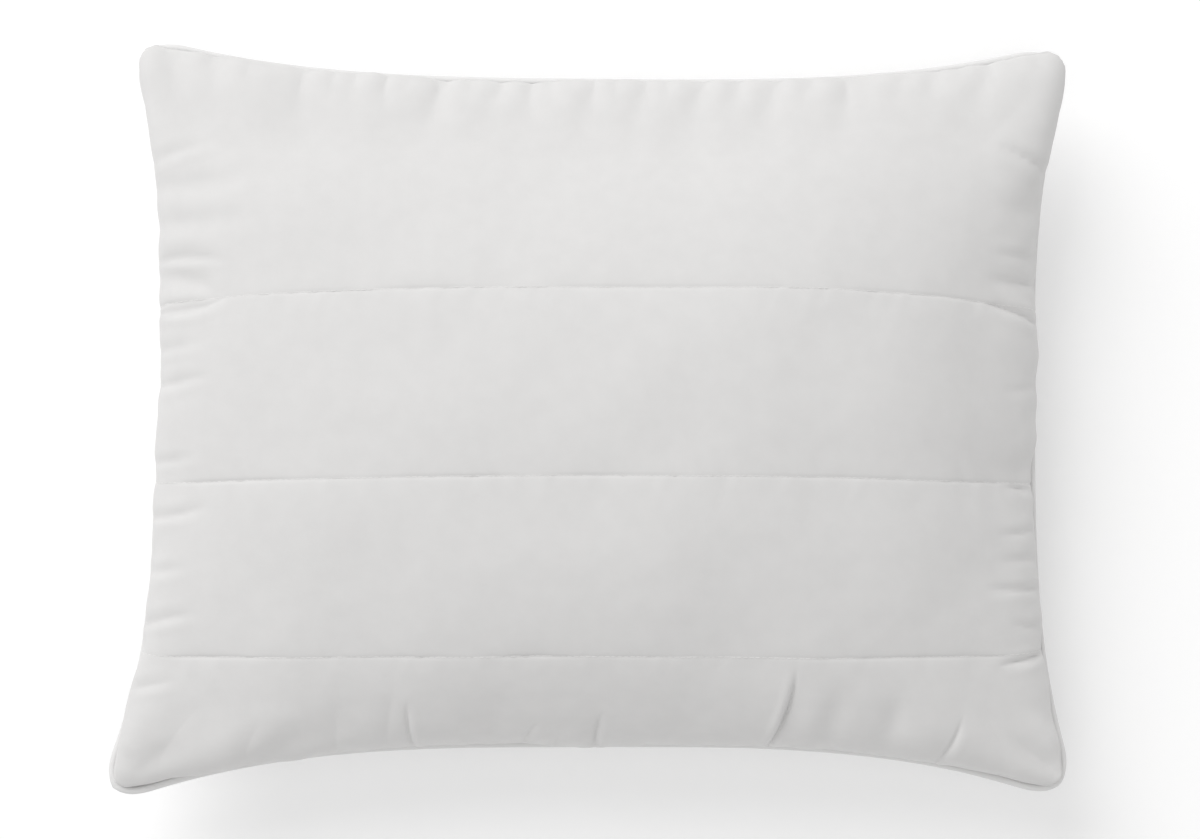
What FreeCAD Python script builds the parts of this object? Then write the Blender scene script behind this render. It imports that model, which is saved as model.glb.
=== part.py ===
import FreeCAD, Part

import math
import os

from FreeCAD import Vector

# Quilted bed pillow, lying on its back panel, in millimetres.
#
# The frame: X runs along the long side, Y along the short side and Z up. The origin is the middle of the flat
# patch on which the pillow rests. Two quilted panels are sewn together along a piped edge seam, which lies in one
# level plane, and hold a loose fibre filling. Each panel is three layers, cover cloth, wadding and lining, held
# together by three rows of lockstitch that run from side to side. Seen from above the four sides bow inwards
# between rounded corners, because the filling draws the middle of each side in and leaves the corners out.

DIMENSIONS = {
    # overall, over the piping
    "pillow_width": 650.0,
    "pillow_depth": 511.0,
    "seam_height": 72.0,
    "front_crown": 98.0,
    "back_crown": 84.0,
    # the outline of the edge seam
    "side_bow": 26.0,
    "end_bow": 26.0,
    "corner_radius": 24.0,
    # how full the panels are where they meet the seam, as the angle of the arc that shapes them
    "fullness_angle": 84.0,
    # how far outside its seam a panel's surface starts before it is trimmed
    "trim": 2.0,
    # the layers of a panel
    "cover_thickness": 0.6,
    "wadding_thickness": 3.2,
    "lining_thickness": 0.4,
    "layer_gap": 0.12,
    # the seam allowance turned to the inside
    "allowance_width": 10.0,
    # the piping
    "piping_diameter": 5.2,
    "piping_cloth": 0.5,
    "cord_gap": 0.1,
    "flange_thickness": 1.0,
    # the quilting
    "quilt_pitch": 127.0,
    "quilt_offset": 87.0,
    "thread_diameter": 0.5,
    "stitch_pitch": 5.0,
    "stitch_length": 3.8,
    "quilt_margin": 9.0,
    # the valleys into which the quilting draws the cloth where the pillow is pressed flat
    "valley_width": 10.0,
    "valley_depth": 1.4,
    # the edge seam, sewn this far from the edge of the seam allowances
    "edge_seam_inset": 2.0,
    # the closing seam, sewn from outside once the pillow is full
    "closing_length": 180.0,
    "closing_inset": 8.0,
    # the care label, caught in the edge seam
    "label_width": 38.0,
    "label_length": 52.0,
    "label_thickness": 0.35,
    "label_position": 205.0,
}

SPAN_POINTS = 25  # points of a panel's surface from side to side
RISE_POINTS = 21  # points of a panel's surface from the -Y edge to the +Y edge
MEASURE_STEPS = [step / 200 for step in range(-200, 201)]  # where the length of a line on the cloth is measured
QUILTING_ROWS = ("lower", "middle", "upper")
LABEL_POINTS = (7, 9)  # points of the label's faces across and along it
CLEARANCE = 1.0  # how far a slab that trims a dome reaches past its crown, in millimetres
SMALL_STEP = 1e-4  # the step over which a surface's direction is read
FRONT, BACK = 1, -1  # the side of the seam on which a panel lies

doc = FreeCAD.newDocument("bed_pillow")


# --- The driving dimensions -------------------------------------------------------------------------------------


def make_sheet():
    """The spreadsheet of driving dimensions: a name, a value and the value's alias on each row."""
    sheet = doc.addObject("Spreadsheet::Sheet", "dimensions")
    for row, (name, value) in enumerate(DIMENSIONS.items(), start=1):
        sheet.set(f"A{row}", name)
        sheet.set(f"B{row}", str(value))
        sheet.setAlias(f"B{row}", name)
    doc.recompute()
    return sheet


sheet = make_sheet()


def size(name):
    """The value of one driving dimension, in millimetres or degrees."""
    return float(sheet.get(name))


def bind(item, expressions):
    """Binds properties of a document object to expressions of the sheet's cells."""
    for name, value in expressions.items():
        item.setExpression(name, value)
    return item


# --- The outline of the edge seam -------------------------------------------------------------------------------
#
# The outline is four shallow arcs, one along each side with its centre outside the pillow, joined by four round
# corners that are tangent to them. An inset moves every point of it inwards by that much.


class Outline:
    """The seam's outline at an inset, and points along it."""

    def __init__(self, inset):
        rim = size("piping_diameter")
        self.half_width = size("pillow_width") / 2 - rim
        self.half_depth = size("pillow_depth") / 2 - rim
        base_radius = size("corner_radius") - rim
        self.corner_x = self.half_width - base_radius
        self.corner_y = self.half_depth - base_radius
        # distance from the centre of a side's arc to that of a corner's arc
        self.side_reach = (size("side_bow") ** 2 + self.corner_y**2) / (2 * size("side_bow"))
        self.end_reach = (size("end_bow") ** 2 + self.corner_x**2) / (2 * size("end_bow"))
        self.side_angle = math.atan2(self.corner_y, self.side_reach - size("side_bow"))
        self.end_angle = math.atan2(self.corner_x, self.end_reach - size("end_bow"))
        self.corner_radius = base_radius - inset
        self.side_radius = self.side_reach - base_radius + inset
        self.end_radius = self.end_reach - base_radius + inset
        self.side_centre = self.corner_x + self.side_reach - size("side_bow")
        self.end_centre = self.corner_y + self.end_reach - size("end_bow")
        # a corner's arc runs from its side's tangent point, below the X direction, to its end's, past Y
        self.corner_start = -self.side_angle
        self.corner_end = math.pi / 2 + self.end_angle
        self.corner_middle = (self.corner_start + self.corner_end) / 2
        self.meeting_x, self.meeting_y = self.meeting()

    def meeting(self):
        """Where the arcs of the +X and +Y sides would meet if the corner between them weren't round."""
        span = math.hypot(self.side_centre, self.end_centre)
        reach = (self.side_radius**2 - self.end_radius**2 + span**2) / (2 * span)
        offset = math.sqrt(self.side_radius**2 - reach**2)
        toward_x, toward_y = -self.side_centre / span, self.end_centre / span
        return (
            self.side_centre + reach * toward_x - offset * toward_y,
            reach * toward_y + offset * toward_x,
        )

    def corner_point(self, angle):
        """A point of the corner between +X and +Y."""
        return (
            self.corner_x + self.corner_radius * math.cos(angle),
            self.corner_y + self.corner_radius * math.sin(angle),
        )

    def along_end(self, share):
        """A point of the +Y side's arc, from its middle at share 0 to where it would meet the +X side's at 1."""
        angle = share * math.atan2(self.meeting_x, self.end_centre - self.meeting_y)
        return self.end_radius * math.sin(angle), self.end_centre - self.end_radius * math.cos(angle)

    def along_side(self, share):
        """A point of the +X side's arc, from its middle at share 0 to where it would meet the +Y side's at 1."""
        angle = share * math.atan2(self.meeting_y, self.side_centre - self.meeting_x)
        return self.side_centre - self.side_radius * math.cos(angle), self.side_radius * math.sin(angle)

    def inside(self, across, along):
        """A point between the four sides' arcs: across and along run from -1 to 1, and 1 is the arcs themselves."""
        end_x, end_y = self.along_end(across)
        side_x, side_y = self.along_side(along)
        x = end_x + across * (side_x - self.meeting_x)
        y = side_y + along * (end_y - self.meeting_y)
        return x, y

    def wire(self, height):
        """The whole outline as one wire of eight arcs, at a height."""
        edges = []
        for sign_x, sign_y in ((1, 1), (-1, 1), (-1, -1), (1, -1)):
            corner = [self.corner_point(a) for a in (self.corner_start, self.corner_middle, self.corner_end)]
            points = [Vector(sign_x * x, sign_y * y, height) for x, y in corner]
            edges.append(Part.Arc(*points).toShape())
        near_end = self.corner_point(self.corner_end)
        near_side = self.corner_point(self.corner_start)
        for sign in (1, -1):
            end = [(-near_end[0], near_end[1]), (0, self.end_centre - self.end_radius), near_end]
            edges.append(Part.Arc(*[Vector(x, sign * y, height) for x, y in end]).toShape())
            side = [(near_side[0], -near_side[1]), (self.side_centre - self.side_radius, 0), near_side]
            edges.append(Part.Arc(*[Vector(sign * x, y, height) for x, y in side]).toShape())
        return Part.Wire(Part.__sortEdges__(edges))

    def slab(self, low, high):
        """A flat slab of the outline's shape between two heights."""
        return Part.Face(self.wire(low)).extrude(Vector(0, 0, high - low))


def allowance_inset():
    """How far inside the seam the cloth of its allowances ends."""
    return size("cover_thickness") + size("allowance_width")


def allowance_height():
    """How far from the middle of the seam the inner face of a seam allowance lies."""
    return size("flange_thickness") / 2 + size("layer_gap") + size("cover_thickness")


def seam_slab(inset, low, high, face=1):
    """A slab of the outline's shape at an inset, between two distances from the middle of the seam on one side."""
    seam = size("seam_height")
    return Outline(inset).slab(*sorted((seam + face * low, seam + face * high)))


# --- The domed form of a panel ----------------------------------------------------------------------------------


class Dome:
    """One half of the pillow at a depth below the panel's outer face.

    Its flat base lies on the seam allowance of the cover cloth, which lies on the piping's flange. Its surface starts
    a little outside its outline and below its base, and is trimmed to them.
    """

    def __init__(self, face, depth=0.0):
        crown = size("front_crown") if face == FRONT else size("back_crown")
        self.face = face
        self.depth = depth
        self.crown = crown - depth
        self.outline = Outline(depth - size("trim"))
        start = allowance_height() - size("trim") / 2
        self.base = size("seam_height") + face * start
        self.rise = self.crown - start
        self.angle = math.radians(size("fullness_angle"))

    def share(self, step):
        """How far out a step from -1 to 1 lies, closer together near the seam, where the cloth turns down."""
        return math.sin(self.angle * step) / math.sin(self.angle)

    def step(self, share):
        """The step that lies at a share."""
        return math.asin(share * math.sin(self.angle)) / self.angle

    def swell(self, step):
        """The height of an arc across the pillow, from 1 at its middle to 0 at the seam."""
        return (math.cos(self.angle * step) - math.cos(self.angle)) / (1 - math.cos(self.angle))

    def point(self, across, along, lift=0.0):
        """A point of the surface, lifted off it by so much. The two steps run from -1 to 1."""
        x, y = self.outline.inside(self.share(across), self.share(along))
        z = self.base + self.face * self.rise * self.swell(across) * self.swell(along)
        place = Vector(x, y, z)
        return place + self.normal(across, along) * lift if lift else place

    def normal(self, across, along):
        """The outward direction at a point of the surface."""
        one = self.point(across + SMALL_STEP, along) - self.point(across - SMALL_STEP, along)
        two = self.point(across, along + SMALL_STEP) - self.point(across, along - SMALL_STEP)
        return one.cross(two).normalize() * self.face

    def surface(self):
        """The surface as one smooth face."""
        rows = []
        for i in range(SPAN_POINTS):
            across = -1 + 2 * i / (SPAN_POINTS - 1)
            rows.append([self.point(across, -1 + 2 * j / (RISE_POINTS - 1)) for j in range(RISE_POINTS)])
        spline = Part.BSplineSurface()
        spline.interpolate(rows)
        return spline.toShape()

    def solid(self, skirt=0.0):
        """The closed form between the surface and a flat base, which lies lower by the height of a skirt."""
        surface = self.surface()
        rim = [edge.translated(Vector(0, 0, -self.face * skirt)) for edge in surface.Edges]
        walls = [Part.makeRuledSurface(top, low) for top, low in zip(surface.Edges, rim)] if skirt else []
        base = Part.makeFace([Part.Wire(Part.__sortEdges__(rim))], "Part::FaceMakerBullseye")
        swollen = closed_solid([surface, base] + walls)
        return swollen.common(seam_slab(self.depth, allowance_height() - skirt, self.crown + CLEARANCE, self.face))

    def along_at(self, distance):
        """The step, from the -Y seam, at which a measure laid on the cloth up the middle reads a distance."""
        return read_off(distance, running_length([self.point(0, step) for step in MEASURE_STEPS]), MEASURE_STEPS)


class ClothLine:
    """A line from side to side on a dome, along which distances are measured on the cloth."""

    def __init__(self, dome, along):
        self.dome = dome
        self.along = along
        self.lengths = running_length([dome.point(step, along) for step in MEASURE_STEPS])
        self.length = self.lengths[-1]

    def across_at(self, distance):
        """The step at a distance from the -X seam."""
        return read_off(distance, self.lengths, MEASURE_STEPS)

    def point(self, distance, lift):
        """The point at a distance from the -X seam, lifted off the cloth by so much."""
        place = self.dome.point(self.across_at(distance), self.along, lift)
        if self.dome.face == BACK:
            place.z = max(place.z, size("valley_depth") - lift)
        return place


def closed_solid(faces):
    """The solid that faces enclose."""
    shell = Part.makeShell(faces)
    shell.sewShape()
    solid = Part.makeSolid(shell)
    if solid.Volume < 0:
        solid.reverse()
    return solid


def running_length(points):
    """The length of a line through points, up to each of them."""
    lengths = [0.0]
    for before, after in zip(points, points[1:]):
        lengths.append(lengths[-1] + (after - before).Length)
    return lengths


def read_off(value, scale, readings):
    """The reading at a value on a rising scale, with values between two marks shared out evenly."""
    for mark in range(1, len(scale)):
        if value <= scale[mark]:
            part = (value - scale[mark - 1]) / (scale[mark] - scale[mark - 1])
            return readings[mark - 1] + part * (readings[mark] - readings[mark - 1])
    return readings[-1]


# --- The layers -------------------------------------------------------------------------------------------------
#
# A depth is counted from a panel's outer face and named by what lies above it.

CLOTH = ["cover_thickness"]
UNDER_CLOTH = CLOTH + ["layer_gap"]
WADDING = UNDER_CLOTH + ["wadding_thickness"]
UNDER_WADDING = WADDING + ["layer_gap"]
LINING = UNDER_WADDING + ["lining_thickness"]
THREAD_ROOM = ["layer_gap", "thread_diameter", "layer_gap"]
UNDER_THREADS = LINING + THREAD_ROOM

# the outer and the inner depth of each layer of a panel
LAYERS = {"panel": ([], CLOTH), "wadding": (UNDER_CLOTH, WADDING), "lining": (UNDER_WADDING, LINING)}


def total(names):
    """The sum of named sizes."""
    return sum(size(name) for name in names)


def expression(names):
    """The sum of named sizes as an expression of the sheet's cells."""
    return " + ".join(f"dimensions.{name}" for name in names) or "0"


def form(name, shape):
    """An object with a shape that no feature makes."""
    item = doc.addObject("Part::Feature", name)
    item.Shape = shape
    return item


def cut(name, base, tool):
    """base without tool."""
    item = doc.addObject("Part::Cut", name)
    item.Base = base
    item.Tool = tool
    return item


def fuse(name, *shapes):
    """Shapes joined into one."""
    item = doc.addObject("Part::MultiFuse", name)
    item.Shapes = list(shapes)
    return item


def block(name, depth, middle, top):
    """A block from side to side: how deep it is, and where its middle and its top lie, are expressions."""
    item = doc.addObject("Part::Box", name)
    sizes = {
        "Length": "dimensions.pillow_width",
        "Width": depth,
        "Height": "dimensions.back_crown",
        ".Placement.Base.x": "-dimensions.pillow_width / 2",
        ".Placement.Base.y": f"{middle} - {depth} / 2",
        ".Placement.Base.z": f"{top} - dimensions.back_crown",
    }
    return bind(item, sizes)


def floor_block(name, depth):
    """The floor raised by a depth, with a ridge for the valley of each row of quilting."""
    level = expression(depth)
    floor = block(f"{name}_plain", "dimensions.pillow_depth", "0", level)
    panel = Dome(BACK)
    ridges = []
    for row, distance in quilting_rows():
        middle = f"{panel.point(0, panel.along_at(distance)).y:.3f}"
        ridges.append(block(f"{name}_{row}", "dimensions.valley_width", middle, f"{level} + dimensions.valley_depth"))
    return fuse(name, floor, *ridges)


def quilting_rows():
    """The rows of quilting, each with its distance from the -Y seam measured on the cloth."""
    first, pitch = size("quilt_offset"), size("quilt_pitch")
    return [(name, first + number * pitch) for number, name in enumerate(QUILTING_ROWS)]


def domed_form(name, face, depth, skirt=0.0):
    """A dome at a depth. The back one is pressed flat at the same depth over the floor."""
    dome = form(f"{name}_dome", Dome(face, total(depth)).solid(skirt))
    return dome if face == FRONT else cut(f"{name}_pressed", dome, floor_block(f"{name}_floor", depth))


def make_layer(side, face, layer):
    """One layer of a panel, as a shell between two domed forms, open at the seam."""
    label = f"{side}_{layer}"
    outer_depth, inner_depth = LAYERS[layer]
    if layer != "panel":
        # the skirt carries the hollow out through the base
        inner = domed_form(f"{label}_inner", face, inner_depth, size("cover_thickness"))
        return cut(label, domed_form(f"{label}_outer", face, outer_depth), inner)
    # the cover cloth turns inwards at the seam, and its allowance is the rim that is left round an opening
    inner = domed_form(f"{label}_inner", face, inner_depth)
    outer = domed_form(f"{label}_outer", face, outer_depth, size("cover_thickness"))
    top = allowance_height() + size("cover_thickness") / 2
    opening = form(f"{label}_opening", seam_slab(allowance_inset(), 0, top, face))
    return cut(label, outer, fuse(f"{label}_hollow", inner, opening))


def make_filling():
    """The loose fibre filling, one body that reaches between the seam allowances and leaves their threads room."""
    halves = [domed_form(f"filling_{name}", face, UNDER_THREADS) for name, face in (("upper", FRONT), ("lower", BACK))]
    height = allowance_height()
    core = form("filling_core", seam_slab(allowance_inset() + size("layer_gap"), -height, height))
    middle = allowance_inset() - size("edge_seam_inset")
    room = total(THREAD_ROOM)
    grooves = []
    for face in (FRONT, BACK):
        band = seam_slab(middle - room / 2, height, height + room, face)
        grooves.append(band.cut(seam_slab(middle + room / 2, height, height + room, face)))
    return cut("fibre_filling", fuse("filling_body", *halves, core), form("filling_grooves", Part.makeCompound(grooves)))


# --- The piping -------------------------------------------------------------------------------------------------


def piping_path():
    """The line along the middle of the piping, just outside the edges of the panels."""
    radius = size("piping_diameter") / 2
    return Outline(-radius).wire(size("seam_height"))


def swept_round(name, path, diameter):
    """A round bar swept along a path, its diameter given as an expression."""
    section = doc.addObject("Part::Circle", f"{name}_section")
    bind(section, {"Radius": f"({diameter}) / 2"})
    start = path.Shape.Edges[0]
    place = start.valueAt(start.FirstParameter)
    heading = start.tangentAt(start.FirstParameter)
    section.Placement = FreeCAD.Placement(place, FreeCAD.Rotation(Vector(0, 0, 1), heading))
    bar = doc.addObject("Part::Sweep", name)
    bar.Sections = [section]
    bar.Spine = (path, [f"Edge{number}" for number in range(1, len(path.Shape.Edges) + 1)])
    bar.Solid = True
    return bar


def make_piping():
    """The piping: a cord, and the bias strip folded round it with the flange that is held in the seam."""
    path = form("piping_path", piping_path())
    bore = "dimensions.piping_diameter - 2 * dimensions.piping_cloth"
    cord = swept_round("piping_cord", path, f"{bore} - 2 * dimensions.cord_gap")
    outside = swept_round("piping_outside", path, "dimensions.piping_diameter")
    inside = swept_round("piping_inside", path, bore)
    # the flange starts in the cloth of the fold and ends with the seam allowances
    half = size("flange_thickness") / 2
    outer = seam_slab(-size("piping_cloth") / 2, -half, half)
    flange = form("piping_flange", outer.cut(seam_slab(allowance_inset(), -half, half)))
    return [cord, cut("piping_cover", fuse("piping_strip", outside, flange), inside)]


# --- Threads ----------------------------------------------------------------------------------------------------


def stitch(start, end):
    """One stitch as a short round bar between two points."""
    run = end - start
    return Part.makeCylinder(size("thread_diameter") / 2, run.Length, start, run)


def stitch_row(label, line, margin, lift):
    """A row of evenly spaced stitches on a line of the cloth, leaving out a margin at each end."""
    pitch, length = size("stitch_pitch"), size("stitch_length")
    count = int((line.length - 2 * margin) // pitch)
    first = (line.length - count * pitch + pitch - length) / 2
    starts = [first + number * pitch for number in range(count)]
    return form(label, Part.makeCompound([stitch(line.point(s, lift), line.point(s + length, lift)) for s in starts]))


def make_quilting(side, face):
    """The three rows of quilting of a panel, each a needle thread outside and a bobbin thread inside."""
    off_cloth = size("layer_gap") + size("thread_diameter") / 2
    under_lining = total(LINING) + off_cloth
    panel = Dome(face)
    rows = []
    for name, distance in quilting_rows():
        line = ClothLine(panel, panel.along_at(distance))
        rows.append(stitch_row(f"{side}_needle_thread_{name}", line, size("quilt_margin"), off_cloth))
        rows.append(stitch_row(f"{side}_bobbin_thread_{name}", line, size("quilt_margin"), -under_lining))
    return rows


def make_edge_seam(label, face):
    """One of the edge seam's two threads, a loop of stitches on the seam allowance."""
    height = size("seam_height") + face * (allowance_height() + total(THREAD_ROOM) / 2)
    inset = allowance_inset() - size("edge_seam_inset")
    places = Outline(inset).wire(height).discretize(Distance=size("stitch_pitch"))
    share = size("stitch_length") / size("stitch_pitch")
    return form(label, Part.makeCompound([stitch(a, a + (b - a) * share) for a, b in zip(places, places[1:])]))


def make_closing_seam():
    """The row of stitches that closes the gap through which the pillow was filled, beside the -Y edge."""
    panel = Dome(BACK)
    line = ClothLine(panel, panel.along_at(size("closing_inset")))
    margin = (line.length - size("closing_length")) / 2
    return stitch_row("closing_thread", line, margin, size("layer_gap") + size("thread_diameter") / 2)


# --- The care label ---------------------------------------------------------------------------------------------


def make_label():
    """A blank tape label that hangs from the -Y edge seam and lies against the back panel."""
    panel = Dome(BACK)
    columns, rows = LABEL_POINTS
    gap = size("layer_gap")
    start = 2 * size("trim")
    line = ClothLine(panel, panel.along_at(start + size("label_length") / 2))
    left = (line.length - size("label_width")) / 2 + size("label_position")
    across = [line.across_at(left + size("label_width") * i / (columns - 1)) for i in range(columns)]
    along = [panel.along_at(start + size("label_length") * j / (rows - 1)) for j in range(rows)]
    faces = []
    for lift in (gap, gap + size("label_thickness")):
        spline = Part.BSplineSurface()
        spline.interpolate([[panel.point(a, b, lift) for b in along] for a in across])
        faces.append(spline.toShape())
    edges = [Part.makeRuledSurface(near, far) for near, far in zip(faces[0].Edges, faces[1].Edges)]
    return form("care_label", closed_solid(faces + edges))


# --- The assembly -----------------------------------------------------------------------------------------------


def build():
    """Every sub-part of the pillow."""
    parts = []
    for side, face in (("front", FRONT), ("back", BACK)):
        parts += [make_layer(side, face, layer) for layer in LAYERS]
        parts += make_quilting(side, face)
    parts.append(make_filling())
    parts += make_piping()
    parts.append(make_edge_seam("edge_seam_needle_thread", FRONT))
    parts.append(make_edge_seam("edge_seam_bobbin_thread", BACK))
    parts.append(make_closing_seam())
    parts.append(make_label())
    doc.recompute()
    return parts


def check(parts):
    """Stops with a message if any object failed or any sub-part isn't a valid solid."""
    for item in doc.Objects:
        if "Invalid" in item.State or "Error" in item.State:
            raise RuntimeError(f"{item.Label} failed: {item.State}")
    for item in parts:
        shape = item.Shape
        if shape.isNull() or not shape.isValid() or not shape.Solids:
            raise RuntimeError(f"{item.Label} isn't a valid solid")


def write(parts):
    """Writes each sub-part to its own STEP file."""
    os.makedirs("parts", exist_ok=True)
    for item in parts:
        item.Shape.exportStep(f"parts/{item.Label}.step")
        box = item.Shape.BoundBox
        print(
            f"{item.Label:28s} {len(item.Shape.Solids):4d} solids {item.Shape.Volume / 1000:9.2f} cm3 "
            f"{box.XLength:6.1f} x {box.YLength:6.1f} x {box.ZLength:6.1f}"
        )


pieces = build()
check(pieces)
write(pieces)
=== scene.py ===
"""A quilted bed pillow with a piped edge, lying on its back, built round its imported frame.

The two panels are sewn flat to one cut, drawn in along the edge seam and blown up by a cloth simulation.
Every other piece follows the surfaces that come out of it: the layers under the covers, the threads, the
piping and the label.
Lengths are in metres unless a name says otherwise.
"""

import logging
import math
from dataclasses import dataclass, field
from enum import Enum
from typing import Sequence

import bpy
import numpy as np
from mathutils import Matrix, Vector

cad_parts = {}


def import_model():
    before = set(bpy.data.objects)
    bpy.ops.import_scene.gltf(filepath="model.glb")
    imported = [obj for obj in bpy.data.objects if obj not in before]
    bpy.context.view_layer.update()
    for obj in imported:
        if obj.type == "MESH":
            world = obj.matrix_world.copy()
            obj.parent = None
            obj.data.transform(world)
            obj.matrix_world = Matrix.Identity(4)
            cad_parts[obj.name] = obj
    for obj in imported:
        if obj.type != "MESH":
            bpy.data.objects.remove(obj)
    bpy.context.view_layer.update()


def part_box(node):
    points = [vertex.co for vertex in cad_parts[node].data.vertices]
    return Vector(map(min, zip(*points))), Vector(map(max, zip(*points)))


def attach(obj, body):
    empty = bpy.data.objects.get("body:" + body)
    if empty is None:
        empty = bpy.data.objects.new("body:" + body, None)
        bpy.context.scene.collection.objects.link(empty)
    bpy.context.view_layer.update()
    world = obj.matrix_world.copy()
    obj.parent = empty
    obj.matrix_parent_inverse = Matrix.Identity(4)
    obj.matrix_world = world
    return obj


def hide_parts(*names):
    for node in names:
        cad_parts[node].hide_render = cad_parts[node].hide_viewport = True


LOG = logging.getLogger("pillow")
BODY = "root"
MM = 0.001
TINY = 1e-9


class Face(Enum):
    """The two panels, each with the sign of its outward direction along Z."""

    FRONT = 1
    BACK = -1

    @property
    def label(self) -> str:
        """The word that piece names start with."""
        return self.name.lower()


# --- Numbers that wander ----------------------------------------------------------------------------------


@dataclass(frozen=True)
class Wander:
    """A smooth random field on a plane or along a line, the same on every run."""

    seed: int
    cell: float
    table_size: int = 128

    def _table(self) -> np.ndarray:
        """The random values at the field's corners."""
        return np.random.default_rng(self.seed).uniform(-1.0, 1.0, (self.table_size, self.table_size))

    def at(self, x: np.ndarray, y: np.ndarray | float = 0.0) -> np.ndarray:
        """The field's value, from -1 to 1.

        Args:
            x: places along the first direction, in metres.
            y: places along the second direction, in metres.

        Returns:
            One value for each place.
        """
        table, size = self._table(), self.table_size
        places = (np.asarray(value) / self.cell + size / 2 for value in (x, y))
        px, py = np.broadcast_arrays(*places)
        ix, iy = np.floor(px).astype(int), np.floor(py).astype(int)
        fx, fy = px - ix, py - iy
        fx, fy = fx * fx * (3 - 2 * fx), fy * fy * (3 - 2 * fy)

        def corner(dx: int, dy: int) -> np.ndarray:
            """The table's value at one corner of each place's cell."""
            return table[(ix + dx) % size, (iy + dy) % size]

        low = corner(0, 0) * (1 - fx) + corner(1, 0) * fx
        high = corner(0, 1) * (1 - fx) + corner(1, 1) * fx
        return low * (1 - fy) + high * fy


def ease(value: np.ndarray, low: float, high: float) -> np.ndarray:
    """A smooth step from 0 at low to 1 at high.

    Args:
        value: the values to step on.
        low: where the step starts.
        high: where it ends.

    Returns:
        The step's height for each value.
    """
    share = np.clip((value - low) / (high - low), 0.0, 1.0)
    return share * share * (3 - 2 * share)


# --- Outlines ---------------------------------------------------------------------------------------------


@dataclass(frozen=True)
class Outline:
    """A four-sided outline with rounded corners, whose sides may bow inwards.

    The corners are in the order -X-Y, +X-Y, +X+Y, -X+Y, and the bows in that of the sides -Y, +X, +Y, -X.
    """

    corners: tuple[tuple[float, float], ...]
    bows: tuple[float, ...] = (0.0, 0.0, 0.0, 0.0)
    corner_cut: float = 24 * MM
    bow_power: float = 2.6
    samples: int = 801
    corner_samples: int = 21

    def _side(self, start: int, end: int, inward: tuple[float, float], bow: float) -> np.ndarray:
        """The points of one side between its two sharp corners, less what its rounded corners take."""
        share = np.linspace(-1.0, 1.0, self.samples)[:, None]
        first, last = np.array(self.corners[start]), np.array(self.corners[end])
        drawn_in = bow * (1 - np.abs(share) ** self.bow_power)
        points = first * (1 - share) / 2 + last * (1 + share) / 2 + np.array(inward) * drawn_in
        run = running_length(points)
        return points[(run >= self.corner_cut) & (run <= run[-1] - self.corner_cut)]

    def sides(self) -> tuple[np.ndarray, np.ndarray, np.ndarray, np.ndarray]:
        """The sides -Y, +X, +Y and -X, each from the middle of one rounded corner to that of the next.

        Returns:
            Each side's points, along +X or +Y.
        """
        south = self._side(0, 1, (0.0, 1.0), self.bows[0])
        east = self._side(1, 2, (-1.0, 0.0), self.bows[1])
        north = self._side(3, 2, (0.0, -1.0), self.bows[2])
        west = self._side(0, 3, (1.0, 0.0), self.bows[3])
        steps = np.linspace(0.0, 0.5, self.corner_samples)[:, None]

        def half(end: np.ndarray, corner: int, far: np.ndarray) -> np.ndarray:
            """Half a rounded corner, from a side's end to the corner's middle."""
            sharp = np.array(self.corners[corner])
            return (1 - steps) ** 2 * end + 2 * steps * (1 - steps) * sharp + steps**2 * far

        def with_corners(
            side: np.ndarray, first: int, before: np.ndarray, last: int, after: np.ndarray
        ) -> np.ndarray:
            """A side with half of each of its two corners."""
            start, end = half(side[0], first, before)[::-1], half(side[-1], last, after)
            return np.vstack([start[:-1], side, end[1:]])

        return (
            with_corners(south, 0, west[0], 1, east[0]),
            with_corners(east, 1, south[-1], 2, north[-1]),
            with_corners(north, 3, west[-1], 2, east[-1]),
            with_corners(west, 0, south[0], 3, north[0]),
        )

    def patch(self, across: int, along: int) -> np.ndarray:
        """A grid of points that fills the outline.

        Args:
            across: the number of points along X.
            along: the number of points along Y.

        Returns:
            The points, as an array of across by along by 2.
        """
        south, east, north, west = self.sides()
        south, north = spread(south, across), spread(north, across)
        east, west = spread(east, along), spread(west, along)
        u = np.linspace(0.0, 1.0, across)[:, None, None]
        v = np.linspace(0.0, 1.0, along)[None, :, None]
        ruled = (1 - v) * south[:, None] + v * north[:, None] + (1 - u) * west[None] + u * east[None]
        low = (1 - u) * south[0] + u * south[-1]
        high = (1 - u) * north[0] + u * north[-1]
        return ruled - (1 - v) * low - v * high


def running_length(points: np.ndarray) -> np.ndarray:
    """The length of a line up to each of its points.

    Args:
        points: the line's points.

    Returns:
        The lengths, from 0.
    """
    return np.concatenate([[0.0], np.cumsum(np.linalg.norm(np.diff(points, axis=0), axis=1))])


def spread(points: np.ndarray, count: int) -> np.ndarray:
    """Evenly spaced points along a line.

    Args:
        points: the line's own points.
        count: how many to return.

    Returns:
        The new points.
    """
    run = running_length(points)
    places = np.linspace(0.0, run[-1], count)
    return np.stack([np.interp(places, run, points[:, k]) for k in range(points.shape[1])], axis=1)


# --- The sewn bag -----------------------------------------------------------------------------------------


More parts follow.
